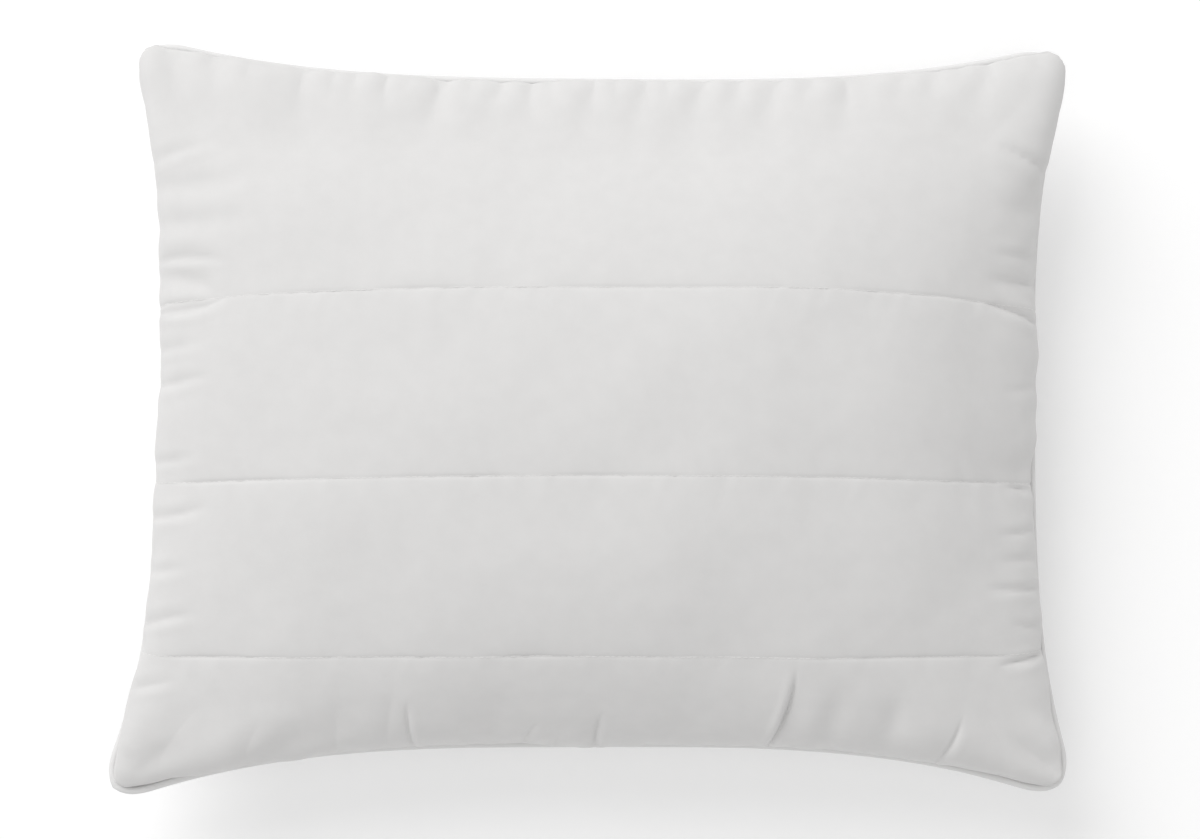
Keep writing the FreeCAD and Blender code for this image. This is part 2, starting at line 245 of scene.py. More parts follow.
@dataclass
class Bag:
    """The two panels as they are cut, sewn along the edge and blown up.

    The seam's corners and bows are where the filled pillow's edge lies, seen from above.
    """

    cut_width: float = 664 * MM
    cut_depth: float = 516 * MM
    cell: float = 7.5 * MM
    seam: Outline = Outline(
        corners=((-0.3325, -0.2590), (0.3305, -0.2570), (0.3275, 0.2535), (-0.3100, 0.2590)),
        bows=(0.0415, 0.0300, 0.0290, 0.0370),
        corner_cut=41 * MM,
        bow_power=3.2,
    )
    row_distances: tuple[float, ...] = (101 * MM, 225 * MM, 350 * MM)
    row_sags: tuple[float, ...] = (2 * MM, 11 * MM, 16 * MM)
    sag_power: float = 2.4
    start_height: float = 20 * MM
    drawing_frames: int = 16
    frames: int = 40
    row_shrink: float = 0.03
    pressure: float = 22.0
    stiffness: float = 110.0
    shear: float = 4.0
    bending: float = 0.35
    cloth_mass: float = 0.3
    cloth_damping: float = 10.0
    air_damping: float = 3.0
    quick_height: float = 95 * MM

    def __post_init__(self) -> None:
        """Counts the grid's points."""
        self.across = int(round(self.cut_width / self.cell)) + 1
        self.along = int(round(self.cut_depth / self.cell)) + 1

    @property
    def half(self) -> tuple[float, float]:
        """Half the cut's width and half its depth."""
        return self.cut_width / 2, self.cut_depth / 2

    @property
    def cut(self) -> Outline:
        """The outline to which the cloth is cut, less its seam allowance."""
        half_x, half_y = self.half
        return Outline(corners=((-half_x, -half_y), (half_x, -half_y), (half_x, half_y), (-half_x, half_y)))

    def _mesh(self) -> tuple[bpy.types.Object, np.ndarray, np.ndarray]:
        """The flat bag as an object, with the numbers of the front's and the back's vertices."""
        flat = self.cut.patch(self.across, self.along)
        sewn = self.seam.patch(self.across, self.along)
        u = np.linspace(-1.0, 1.0, self.across)[:, None]
        v = np.linspace(-1.0, 1.0, self.along)[None, :]
        height = self.start_height * np.sqrt(np.clip(np.cos(u * np.pi / 2) * np.cos(v * np.pi / 2), 0.0, 1.0))
        count = self.across * self.along
        front = np.arange(count).reshape(self.across, self.along)
        back = front.copy()
        inside = (self.across - 2) * (self.along - 2)
        back[1:-1, 1:-1] = np.arange(count, count + inside).reshape(self.across - 2, self.along - 2)

        def points(plan: np.ndarray) -> np.ndarray:
            """The vertices over one plan of the bag."""
            upper = np.dstack([plan, height]).reshape(-1, 3)
            lower = np.dstack([plan, -height])[1:-1, 1:-1].reshape(-1, 3)
            return np.vstack([upper, lower])

        faces = quads(front) + [face[::-1] for face in quads(back)]
        mesh = bpy.data.meshes.new("bag")
        mesh.from_pydata(points(flat).tolist(), [], faces)
        bag = bpy.data.objects.new("bag", mesh)
        bpy.context.collection.objects.link(bag)
        bag.shape_key_add(name="flat")
        key = bag.shape_key_add(name="sewn")
        key.data.foreach_set("co", points(sewn).ravel())
        return bag, front, back

    def _simulate(self, bag: bpy.types.Object, front: np.ndarray, back: np.ndarray) -> np.ndarray:
        """Blows the bag up and returns its vertices."""
        edge = set(front[0]) | set(front[-1]) | set(front[:, 0]) | set(front[:, -1])
        bag.vertex_groups.new(name="seam").add([int(i) for i in edge], 1.0, "REPLACE")
        rows = [round(d / self.cut_depth * (self.along - 1)) for d in self.row_distances]
        quilted = [int(i) for row in rows for i in (*front[2:-2, row], *back[2:-2, row])]
        bag.vertex_groups.new(name="rows").add(quilted, 1.0, "REPLACE")
        key = bag.data.shape_keys.key_blocks["sewn"]
        for frame, value in ((1, 0.0), (self.drawing_frames, 1.0)):
            key.value = value
            key.keyframe_insert("value", frame=frame)
        modifier = bag.modifiers.new("Cloth", "CLOTH")
        cloth = modifier.settings
        cloth.quality = 6
        cloth.mass = self.cloth_mass
        cloth.tension_stiffness = cloth.compression_stiffness = self.stiffness
        cloth.shear_stiffness = self.shear
        cloth.bending_stiffness = self.bending
        cloth.tension_damping = cloth.compression_damping = cloth.shear_damping = self.cloth_damping
        cloth.air_damping = self.air_damping
        cloth.use_pressure = True
        cloth.uniform_pressure_force = self.pressure
        cloth.vertex_group_mass = "seam"
        cloth.vertex_group_shrink = "rows"
        cloth.shrink_max = self.row_shrink
        cloth.effector_weights.gravity = 0.0
        modifier.collision_settings.use_collision = False
        modifier.point_cache.frame_start = 1
        modifier.point_cache.frame_end = self.frames
        scene = bpy.context.scene
        for frame in range(1, self.frames + 1):
            scene.frame_set(frame)
        evaluated = bag.evaluated_get(bpy.context.evaluated_depsgraph_get())
        places = vertex_places(evaluated.data)
        scene.frame_set(1)
        return places

    def sag(self, points: np.ndarray) -> np.ndarray:
        """Lets the ends of the quilted rows hang lower than their middles.

        Args:
            points: a panel's points.

        Returns:
            The points, moved along the panel's own surface.
        """
        places = np.linspace(0.0, 1.0, self.along)
        rows = np.array([0.0, *self.row_distances, self.cut_depth]) / self.cut_depth
        sags = np.array([0.0, *self.row_sags, 0.0]) / self.cut_depth
        moved = np.empty_like(points)
        for column, across in enumerate(np.linspace(-1.0, 1.0, self.across)):
            shift = np.interp(places, rows, sags) * abs(across) ** self.sag_power
            moved[column] = spline_weights(places - shift, self.along) @ points[column]
        return moved

    def blow_up(self) -> dict[Face, np.ndarray]:
        """Sews, draws in and fills the bag.

        Returns:
            For each panel, its points as an array of across by along by 3, with the seam at height 0.
        """
        bag, front, back = self._mesh()
        places = self._simulate(bag, front, back)
        mesh = bag.data
        bpy.data.objects.remove(bag)
        bpy.data.meshes.remove(mesh)
        return {Face.FRONT: places[front], Face.BACK: places[back]}


def vertex_places(mesh: bpy.types.Mesh, key: str = "") -> np.ndarray:
    """The places of a mesh's vertices.

    Args:
        mesh: the mesh.
        key: the shape key to read instead of the mesh's own vertices.

    Returns:
        One row for each vertex.
    """
    source = mesh.shape_keys.key_blocks[key].data if key else mesh.vertices
    places = np.empty(len(source) * 3)
    source.foreach_get("co", places)
    return places.reshape(-1, 3)


def quads(numbers: np.ndarray) -> list[tuple[int, ...]]:
    """The quads of a grid of vertex numbers.

    Args:
        numbers: the vertex numbers, as a two-dimensional array.

    Returns:
        The faces, which face +Z if the grid runs along +X and then +Y.
    """
    corners = np.stack([numbers[:-1, :-1], numbers[1:, :-1], numbers[1:, 1:], numbers[:-1, 1:]], axis=-1)
    return [tuple(face) for face in corners.reshape(-1, 4).tolist()]


# --- The relief of a panel --------------------------------------------------------------------------------


@dataclass(frozen=True)
class Crease:
    """A fold in the cloth along an arc, in millimetres on the filled pillow seen from above.

    It is deepest near its start, which is the end at the seam. Its width is that of its left side, seen from
    the start, and a fold that is laid over has a sharp side.
    """

    start: tuple[float, float]
    end: tuple[float, float]
    sag: float = 0.0
    width: float = 4.0
    depth: float = 2.0
    lip: float = 0.5
    right_width: float = 3.0
    groove: float = 0.0
    groove_width: float = 1.3
    sharpness: float = 1.3
    lip_place: float = 1.9
    lip_spread: float = 1.4

    def relief(self, x: np.ndarray, y: np.ndarray) -> np.ndarray:
        """How far the crease moves the cloth outwards.

        Args:
            x: places across the pillow.
            y: places along it.

        Returns:
            The movement at each place.
        """
        first, last = np.array(self.start) * MM, np.array(self.end) * MM
        run = last - first
        length = float(np.hypot(*run))
        ahead, aside = run / length, np.array([-run[1], run[0]]) / length
        share = ((x - first[0]) * ahead[0] + (y - first[1]) * ahead[1]) / length
        curve = 4 * self.sag * MM * share * (1 - share)
        off = (x - first[0]) * aside[0] + (y - first[1]) * aside[1] - curve
        line = -self.groove * MM * np.exp(-((off / (self.groove_width * MM)) ** 2))
        line *= ease(share, -0.02, 0.1) * (1 - ease(share, 0.6, 1.0))
        off = off / (np.where(off > 0, self.width, self.right_width) * MM)
        fade = ease(share, -0.05, 0.3) * (1 - ease(share, 0.45, 1.05))
        valley = -np.exp(-np.abs(off) ** self.sharpness)
        raised = self.lip * np.exp(-((np.abs(off) - self.lip_place) ** 2) / self.lip_spread)
        return self.depth * MM * fade * (valley + raised) + line


@dataclass(frozen=True)
class Dent:
    """A soft oval hollow or swelling, in millimetres on the filled pillow seen from above."""

    middle: tuple[float, float]
    radii: tuple[float, float]
    depth: float
    turn: float = 0.0

    def relief(self, x: np.ndarray, y: np.ndarray) -> np.ndarray:
        """How far the dent moves the cloth outwards.

        Args:
            x: places across the pillow.
            y: places along it.

        Returns:
            The movement at each place.
        """
        angle = math.radians(self.turn)
        dx, dy = x - self.middle[0] * MM, y - self.middle[1] * MM
        along = (dx * math.cos(angle) + dy * math.sin(angle)) / (self.radii[0] * MM)
        aside = (dy * math.cos(angle) - dx * math.sin(angle)) / (self.radii[1] * MM)
        return -self.depth * MM * np.exp(-(along**2) - aside**2)


@dataclass
class Relief:
    """What the stitching and the fibres do to a panel's surface."""

    bag: Bag
    seed: int
    creases: tuple[Crease, ...] = ()
    dents: tuple[Dent, ...] = ()
    valley_depth: float = 0.75 * MM
    valley_width: float = 6.0 * MM
    thread_depth: float = 0.30 * MM
    thread_width: float = 1.3 * MM
    gather: float = 0.32 * MM
    gather_pitch: float = 7 * MM
    gather_reach: float = 12 * MM
    gather_slant: float = 0.35
    row_size: float = 38 * MM
    row_unevenness: float = 0.8
    pucker: float = 1.0 * MM
    pucker_pitch: float = 11 * MM
    pucker_reach: float = 24 * MM
    pucker_slant: float = 0.7
    pucker_shift: float = 3.0
    pucker_shares: tuple[float, float] = (0.5, 0.35)
    reach_size: float = 40 * MM
    lump: float = 1.5 * MM
    lump_size: float = 52 * MM
    ripple: float = 0.22 * MM
    ripple_size: float = 17 * MM
    overhangs: tuple[float, ...] = (3.8 * MM, 5.4 * MM, 6.0 * MM, 4.0 * MM)
    overhang_size: float = 60 * MM
    overhang_unevenness: float = 0.25
    overhang_rise: tuple[float, float] = (2 * MM, 9 * MM)
    overhang_fall: tuple[float, float] = (14 * MM, 70 * MM)
    rolls: tuple[float, ...] = (0.0, 0.0, 0.0, 0.0)
    corner_roll: float = 0.6
    corner_reach: float = 42 * MM
    roll_rise: tuple[float, float] = (0.0, 6 * MM)
    roll_fall: tuple[float, float] = (12 * MM, 50 * MM)
    roll_edge: float = 5 * MM
    pucker_edge: tuple[float, float] = (4 * MM, 15 * MM)
    crease_edge: tuple[float, float] = (4 * MM, 20 * MM)
    relief_edge: float = 6 * MM

    def at(self, flat: np.ndarray, plan: np.ndarray) -> np.ndarray:
        """How far the surface moves outwards.

        Args:
            flat: places on the flat cut, from its middle.
            plan: where they lie on the filled pillow, seen from above.

        Returns:
            The movement at each place.
        """
        x, y = flat[..., 0], flat[..., 1]
        half_x, half_y = self.bag.half
        to_side, to_end = half_x - np.abs(x), half_y - np.abs(y)
        to_seam = self._to_seam(x, y)
        relief = self.lump * Wander(self.seed, self.lump_size).at(x, y)
        relief += self.ripple * Wander(self.seed + 1, self.ripple_size).at(x, y)
        relief += self._overhang(x, y)
        for number, distance in enumerate(self.bag.row_distances):
            relief += self._row(x, y + half_y - distance, self.seed + 10 + number)
        to_seams = zip((y, x), (to_side, to_end), self.pucker_shares)
        for number, (along, off, share) in enumerate(to_seams):
            slanted = along + self.pucker_slant * off
            wave = Wander(self.seed + 20 + number, self.pucker_pitch)
            folds = wave.at(slanted, self.pucker_shift * np.sign(x + y))
            uneven = Wander(self.seed + 30 + number, self.reach_size).at(along)
            reach = self.pucker_reach * (0.75 + 0.5 * uneven)
            near = np.exp(-((off / reach) ** 2)) * ease(to_seam, *self.pucker_edge)
            relief += share * self.pucker * folds * near
        inside = ease(to_seam, *self.crease_edge)
        for feature in (*self.creases, *self.dents):
            relief += inside * feature.relief(plan[..., 0], plan[..., 1])
        return relief * ease(to_seam, 0.0, self.relief_edge)

    def roll(self, flat: np.ndarray) -> np.ndarray:
        """How far the cloth leans out over the piping, level with the floor, at places on the flat cut."""
        x, y = flat[..., 0], flat[..., 1]
        half_x, half_y = self.bag.half
        bottom, right, top, left = (
            most * ease(off, *self.roll_rise) * (1 - ease(off, *self.roll_fall))
            for off, most in zip((half_y + y, half_x - x, half_y - y, half_x + x), self.rolls)
        )
        moved = np.stack([right - left, top - bottom, np.zeros_like(x)], axis=-1)
        to_corner_squared = (half_x - np.abs(x)) ** 2 + (half_y - np.abs(y)) ** 2
        at_corner = np.exp(-to_corner_squared / self.corner_reach**2)
        share = (1 + self.corner_roll * at_corner) * ease(self._to_seam(x, y), 0.0, self.roll_edge)
        return moved * share[..., None]

    def _to_seam(self, x: np.ndarray, y: np.ndarray) -> np.ndarray:
        """How far places on the flat cut lie from the seam, round its corners too."""
        half_x, half_y = self.bag.half
        to_side, to_end = np.maximum(half_x - np.abs(x), TINY), np.maximum(half_y - np.abs(y), TINY)
        past_corner = np.sqrt(to_side) + np.sqrt(to_end) - math.sqrt(self.bag.cut.corner_cut)
        to_corner = 2 * past_corner / np.sqrt(1 / to_side + 1 / to_end)
        return np.maximum(np.minimum.reduce([to_side, to_end, to_corner]), 0.0)

    def _overhang(self, x: np.ndarray, y: np.ndarray) -> np.ndarray:
        """How far the cloth rolls out over the piping, which differs from side to side."""
        half_x, half_y = self.bag.half
        overhang = np.zeros_like(x)
        offs = (half_y + y, half_x - x, half_y - y, half_x + x)
        for off, along, most in zip(offs, (x, y, x, y), self.overhangs):
            vary = Wander(self.seed + 2, self.overhang_size).at(along)
            uneven = most * (1 + self.overhang_unevenness * vary)
            rolled = uneven * ease(off, *self.overhang_rise) * (1 - ease(off, *self.overhang_fall))
            overhang = np.maximum(overhang, rolled)
        return overhang

    def _row(self, x: np.ndarray, off: np.ndarray, seed: int) -> np.ndarray:
        """The valley along one row of quilting, with the small gathers that its thread pulls up."""
        vary = 1 + self.row_unevenness * Wander(seed, self.row_size).at(x)
        valley = self.valley_depth * np.exp(-np.abs(off) / self.valley_width)
        thread = self.thread_depth * np.exp(-((off / self.thread_width) ** 2))
        slanted = x + self.gather_slant * np.abs(off)
        gathers = Wander(seed + 40, self.gather_pitch).at(slanted, 2.0 * np.sign(off))
        pulled = self.gather * gathers * np.exp(-np.abs(off) / self.gather_reach)
        return pulled - vary * (valley + thread)


# --- The surface of a panel -------------------------------------------------------------------------------


def spline_weights(places: np.ndarray, count: int) -> np.ndarray:
    """The weights of a row of points in an even cubic spline that starts and ends at its end points.

    Args:
        places: where to read the spline, from 0 to 1.
        count: the number of points in the row.

    Returns:
        One row of weights for each place.
    """
    weights = np.zeros((len(places), count + 2))
    t = np.clip(places, 0.0, 1.0) * (count - 1)
    whole = np.minimum(t.astype(int), count - 2)
    f = t - whole
    parts = ((1 - f) ** 3, 3 * f**3 - 6 * f**2 + 4, -3 * f**3 + 3 * f**2 + 3 * f + 1, f**3)
    rows = np.arange(len(places))
    for shift, part in enumerate(parts):
        weights[rows, whole + shift] += part / 6
    # the two points beyond the ends mirror the points inside them
    weights[:, 1] += 2 * weights[:, 0]
    weights[:, 2] -= weights[:, 0]
    weights[:, -2] += 2 * weights[:, -1]
    weights[:, -3] -= weights[:, -1]
    return weights[:, 1:-1]


@dataclass
class Sheetform:
    """A panel's outer surface as a smooth sheet over its flat cut, with relief."""

    face: Face
    points: np.ndarray
    flat: np.ndarray
    relief: Relief
    floor: float = 0.0
    softness: float = 4 * MM
    step: float = 2e-3
    tries: int = 6

    def read(self, us: np.ndarray, vs: np.ndarray, lift: float = 0.0, under: bool = False) -> np.ndarray:
        """A grid of points on the surface.

        Args:
            us: places across, from 0 to 1.
            vs: places along, from 0 to 1.
            lift: how far off the surface the points lie.
            under: whether an even, coarse grid stays under every crease between its points.

        Returns:
            The points, as an array of us by vs by 3.
        """
        if under:
            us, vs = (np.linspace(row[0], row[-1], 2 * len(row) - 1) for row in (us, vs))
        base, flat = self._spline(us, vs)
        relief = self.relief.at(flat, base)
        rolled = self.relief.roll(flat)
        if under:
            beside = (np.roll(relief, shift, axis=axis) for shift in (-1, 1) for axis in (0, 1))
            relief = np.minimum.reduce([relief, *beside])
            base, relief, rolled = base[::2, ::2], relief[::2, ::2], rolled[::2, ::2]
        base = base + self.outward(base) * relief[..., None] + rolled
        self._lay(base)
        return base + self.outward(base) * lift if lift else base

    def flat_places(self, us: np.ndarray, vs: np.ndarray) -> np.ndarray:
        """The places of a grid of points on the flat cut.

        Args:
            us: places across, from 0 to 1.
            vs: places along, from 0 to 1.

        Returns:
            The places, as an array of us by vs by 2.
        """
        return self._spline(us, vs)[1]

    def _spline(self, us: np.ndarray, vs: np.ndarray) -> tuple[np.ndarray, np.ndarray]:
        """The smooth surface and its flat places."""
        across = spline_weights(np.asarray(us), self.points.shape[0])
        along = spline_weights(np.asarray(vs), self.points.shape[1])

        def read(grid: np.ndarray) -> np.ndarray:
            """One grid through both splines."""
            return np.einsum("ui,ijk,vj->uvk", across, grid, along, optimize=True)

        return read(self.points), read(self.flat)

    def outward(self, grid: np.ndarray) -> np.ndarray:
        """The outward directions at a grid of points."""
        normals = np.cross(np.gradient(grid, axis=0), np.gradient(grid, axis=1)) * self.face.value
        # the two directions of the grid fall into one at a rounded corner
        for i, near_i in ((0, 1), (-1, -2)):
            for j, near_j in ((0, 1), (-1, -2)):
                normals[i, j] = normals[near_i, near_j]
        return normals / np.linalg.norm(normals, axis=-1, keepdims=True)

    def spots(self, us: np.ndarray, vs: np.ndarray) -> np.ndarray:
        """Single points on the surface, with all its relief.

        Args:
            us: places across, from 0 to 1.
            vs: places along, from 0 to 1.

        Returns:
            One point for each place.
        """
        step = self.step

        def base(du: float, dv: float) -> np.ndarray:
            """The smooth surface a little off each place."""
            return self._single(self.points, us + du, vs + dv)

        normals = np.cross(base(step, 0) - base(-step, 0), base(0, step) - base(0, -step)) * self.face.value
        normals /= np.linalg.norm(normals, axis=-1, keepdims=True)
        flat = self._single(self.flat, us, vs)
        places = base(0, 0)
        places += normals * self.relief.at(flat, places)[:, None] + self.relief.roll(flat)
        self._lay(places)
        return places

    def _lay(self, points: np.ndarray) -> None:
        """Lays the back flat on the floor where the pillow rests, by moving points of it up."""
        if self.face is Face.BACK:
            over = (points[..., 2] - self.floor) / self.softness
            points[..., 2] = self.floor + self.softness * np.logaddexp(0.0, over)

    def frames(self, x: np.ndarray, y: np.ndarray) -> tuple[np.ndarray, np.ndarray]:
        """Points on the surface above places on the flat cut, with their outward directions.

        Args:
            x: places across the flat cut, from its middle.
            y: places along it, from its middle.

        Returns:
            The points and the directions.
        """
        width, depth = np.ptp(self.flat[..., 0]), np.ptp(self.flat[..., 1])
        us, vs = x / width + 0.5, y / depth + 0.5
        for _ in range(self.tries):
            now = self._single(self.flat, us, vs)
            us = us + (x - now[:, 0]) / width
            vs = vs + (y - now[:, 1]) / depth
        step = self.step / 2
        across = self.spots(us + step, vs) - self.spots(us - step, vs)
        along = self.spots(us, vs + step) - self.spots(us, vs - step)
        normals = np.cross(across, along) * self.face.value
        return self.spots(us, vs), normals / np.linalg.norm(normals, axis=-1, keepdims=True)

    @staticmethod
    def _single(grid: np.ndarray, us: np.ndarray, vs: np.ndarray) -> np.ndarray:
        """One grid through both splines, at single places."""
        across, along = spline_weights(us, grid.shape[0]), spline_weights(vs, grid.shape[1])
        return np.einsum("ujk,uj->uk", np.einsum("ui,ijk->ujk", across, grid, optimize=True), along)


# --- Meshes and finishes ----------------------------------------------------------------------------------


def make_piece(
    name: str,
    points: np.ndarray,
    faces: Sequence[tuple[int, ...]],
    finish: "Fabric",
    nodes: Sequence[str],
    cloth: np.ndarray | None = None,
) -> bpy.types.Object:
    """Makes one piece of the pillow and gives it its finish.

    Args:
        name: the piece's name.
        points: its vertices.
        faces: its faces, as vertex numbers.
        finish: what it is made of.
        nodes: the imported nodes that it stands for.
        cloth: the place of each vertex on the flat cloth, where its weave follows the cloth.

    Returns:
        The new object.
    """
    mesh = bpy.data.meshes.new(name)
    mesh.from_pydata(np.asarray(points).tolist(), [], faces)
    if cloth is not None:
        corners = np.empty(len(mesh.loops), dtype=np.int32)
        mesh.loops.foreach_get("vertex_index", corners)
        layer = mesh.uv_layers.new(name="cloth")
        layer.data.foreach_set("uv", np.asarray(cloth)[corners].astype(np.float32).ravel())
    mesh.polygons.foreach_set("use_smooth", np.ones(len(mesh.polygons), dtype=bool))
    mesh.materials.append(finish.material(cloth is not None))
    mesh.update()
    piece = bpy.data.objects.new(name, mesh)
    bpy.context.collection.objects.link(piece)
    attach(piece, BODY)
    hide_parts(*nodes)
    return piece


@dataclass(frozen=True)
class Fabric:
    """A cloth, thread or fibre: its colour, weave, fluff and sheen."""

    slot: str
    color: tuple[float, float, float]
    tone: float = 0.03
    weave: float = 0.45 * MM
    weave_depth: float = 0.03 * MM
    bias: float = 0.0
    fluff: float = 3 * MM
    fluff_depth: float = 0.05 * MM
    roughness: float = 0.88
    sheen: float = 0.25
    sheen_roughness: float = 0.5
    specular: float = 0.25
    tone_size: float = 30.0

    def material(self, on_cloth: bool) -> bpy.types.Material:
        """The finish as a material.

        Args:
            on_cloth: whether the weave follows the piece's own cloth map.

        Returns:
            The material, made once for each way of mapping.
        """
        name = f"{self.slot}_{'cloth' if on_cloth else 'solid'}"
        if name in bpy.data.materials:
            return bpy.data.materials[name]
        material = bpy.data.materials.new(name)
        material.use_nodes = True
        tree = material.node_tree
        shader = tree.nodes["Principled BSDF"]
        shader.inputs["Roughness"].default_value = self.roughness
        shader.inputs["Sheen Weight"].default_value = self.sheen
        shader.inputs["Sheen Roughness"].default_value = self.sheen_roughness
        shader.inputs["Specular IOR Level"].default_value = self.specular
        if on_cloth:
            place = tree.nodes.new("ShaderNodeUVMap")
            place.uv_map = "cloth"
            where = place.outputs["UV"]
        else:
            where = tree.nodes.new("ShaderNodeTexCoord").outputs["Object"]
        turn = tree.nodes.new("ShaderNodeMapping")
        turn.inputs["Rotation"].default_value = (0.0, 0.0, math.radians(self.bias))
        tree.links.new(where, turn.inputs["Vector"])
        where = turn.outputs["Vector"]
        self._color(tree, where, shader)
        self._bump(tree, where, shader)
        return material

    def _noise(
        self, tree: bpy.types.NodeTree, where: bpy.types.NodeSocket, size: float
    ) -> bpy.types.NodeSocket:
        """A soft noise whose lumps are about one size."""
        noise = tree.nodes.new("ShaderNodeTexNoise")
        noise.inputs["Scale"].default_value = 1 / size
        noise.inputs["Detail"].default_value = 3.0
        tree.links.new(where, noise.inputs["Vector"])
        return noise.outputs[0]

    def _threads(self, tree: bpy.types.NodeTree, where: bpy.types.NodeSocket) -> bpy.types.NodeSocket:
        """The height of plain weave: warp threads times weft threads."""
        waves = []
        for direction in ("X", "Y"):
            wave = tree.nodes.new("ShaderNodeTexWave")
            wave.bands_direction = direction
            wave.inputs["Scale"].default_value = math.pi / 10 / self.weave
            wave.inputs["Distortion"].default_value = 0.6
            wave.inputs["Detail Scale"].default_value = 0.2
            tree.links.new(where, wave.inputs["Vector"])
            waves.append(wave.outputs[1])
        height = tree.nodes.new("ShaderNodeMath")
        height.operation = "MULTIPLY"
        tree.links.new(waves[0], height.inputs[0])
        tree.links.new(waves[1], height.inputs[1])
        return height.outputs[0]

    def _color(self, tree: bpy.types.NodeTree, where: bpy.types.NodeSocket, shader: bpy.types.Node) -> None:
        """Varies the colour a little from place to place."""
        ramp = tree.nodes.new("ShaderNodeValToRGB")
        for element, share in zip(ramp.color_ramp.elements, (1 - self.tone, 1.0)):
            element.color = (*(value * share for value in self.color), 1.0)
        ramp.color_ramp.elements[0].position = 0.35
        ramp.color_ramp.elements[1].position = 0.65
        tree.links.new(self._noise(tree, where, self.tone_size * self.weave), ramp.inputs[0])
        tree.links.new(ramp.outputs[0], shader.inputs["Base Color"])

    def _bump(self, tree: bpy.types.NodeTree, where: bpy.types.NodeSocket, shader: bpy.types.Node) -> None:
        """Raises the weave and the fluff."""
        normal = None
        heights = (
            (self._noise(tree, where, self.fluff), self.fluff_depth),
            (self._threads(tree, where), self.weave_depth),
        )
        for height, depth in heights:
            bump = tree.nodes.new("ShaderNodeBump")
            bump.inputs["Strength"].default_value = 1.0
            bump.inputs["Distance"].default_value = depth
            tree.links.new(height, bump.inputs["Height"])
            if normal is not None:
                tree.links.new(normal, bump.inputs["Normal"])
            normal = bump.outputs["Normal"]
        tree.links.new(normal, shader.inputs["Normal"])


@dataclass(frozen=True)
class Fabrics:
    """What the pillow is made of."""

    percale: Fabric = Fabric("cover_cloth", (0.735, 0.728, 0.722), tone=0.02)
    bias_strip: Fabric = Fabric("piping_cloth", (0.80, 0.795, 0.79), tone=0.02, bias=45.0)
    cord: Fabric = Fabric("piping_cord", (0.72, 0.70, 0.66), weave=0.6 * MM, weave_depth=0.12 * MM, bias=30.0)
    thread: Fabric = Fabric(
        "thread", (0.84, 0.835, 0.825), weave=0.25 * MM, weave_depth=0.05 * MM, bias=40.0, sheen=0.1
    )
    fleece: Fabric = Fabric("wadding", (0.82, 0.82, 0.81), fluff=1.6 * MM, fluff_depth=0.5 * MM, sheen=0.5)
    web: Fabric = Fabric("lining", (0.78, 0.78, 0.77), fluff=0.8 * MM, fluff_depth=0.08 * MM)
    fibre: Fabric = Fabric("filling", (0.84, 0.84, 0.83), fluff=5 * MM, fluff_depth=1.4 * MM, sheen=0.6)
    tape: Fabric = Fabric("label", (0.83, 0.83, 0.82), weave=0.2 * MM, roughness=0.45, sheen=0.1)


# --- Rings ------------------------------------------------------------------------------------------------


def ring_of(grid: np.ndarray) -> np.ndarray:
    """The edge of a grid, as a closed ring that runs along +X first.

    Args:
        grid: an array whose first two directions are across and along.

    Returns:
        The edge's values, each once.
    """
    return np.concatenate([grid[:-1, 0], grid[-1, :-1], grid[:0:-1, -1], grid[0, :0:-1]])


def inward_of(ring: np.ndarray) -> np.ndarray:
    """The level directions that point into a ring.

    Args:
        ring: the ring's points.

    Returns:
        One unit direction for each point.
    """
    ahead = np.roll(ring, -1, axis=0) - np.roll(ring, 1, axis=0)
    inward = np.stack([-ahead[:, 1], ahead[:, 0], np.zeros(len(ring))], axis=1)
    return inward / np.linalg.norm(inward, axis=1, keepdims=True)


def strips(rings: Sequence[np.ndarray]) -> list[tuple[int, ...]]:
    """The quads between closed rings of vertex numbers, one ring after another.

    Args:
        rings: the rings, each running the same way round.

    Returns:
        The faces.
    """
    faces = []
    for first, second in zip(rings, rings[1:]):
        corners = np.stack([np.roll(first, -1), first, second, np.roll(second, -1)], axis=1)
        faces += [tuple(face) for face in corners.tolist()]
    return faces


def numbered(grid: np.ndarray, start: int = 0) -> np.ndarray:
    """Vertex numbers for a grid, in the order that reshape gives its points."""
    return np.arange(grid.shape[0] * grid.shape[1]).reshape(grid.shape[:2]) + start


def slab(numbers: np.ndarray) -> list[tuple[int, ...]]:
    """The faces of a slab between a grid and a second one below it, whose numbers follow on.

    Args:
        numbers: the first grid's vertex numbers.

    Returns:
        The faces, which face outwards if the first grid faces +Z.
    """
    edge = ring_of(numbers)
    below = numbers + numbers.size
    return quads(numbers) + flipped(quads(below)) + strips([edge, edge + numbers.size])


def laced(first: np.ndarray, second: np.ndarray) -> list[tuple[int, ...]]:
    """The triangles between two closed rings of vertex numbers that may differ in how many they have.

    Args:
        first: one ring.
        second: the other, which starts beside the first's start and runs the same way round.

    Returns:
        The faces.
    """
    faces = []
    i, j = 0, 0
    while i < len(first) or j < len(second):
        here, there = first[i % len(first)], second[j % len(second)]
        if j == len(second) or (i < len(first) and (i + 1) * len(second) <= (j + 1) * len(first)):
            i += 1
            faces.append((int(first[i % len(first)]), int(here), int(there)))
        else:
            j += 1
            faces.append((int(here), int(there), int(second[j % len(second)])))
    return faces


def flipped(faces: Sequence[tuple[int, ...]]) -> list[tuple[int, ...]]:
    """The same faces, facing the other way."""
    return [face[::-1] for face in faces]


def even_ring(ring: np.ndarray, step: float) -> np.ndarray:
    """A ring's line with evenly spaced points.

    Args:
        ring: the ring's points.
        step: about how far apart the new ones are.

    Returns:
        The new points.
    """
    closed = np.vstack([ring, ring[:1]])
    count = int(round(running_length(closed)[-1] / step))
    return spread(closed, count + 1)[:-1]


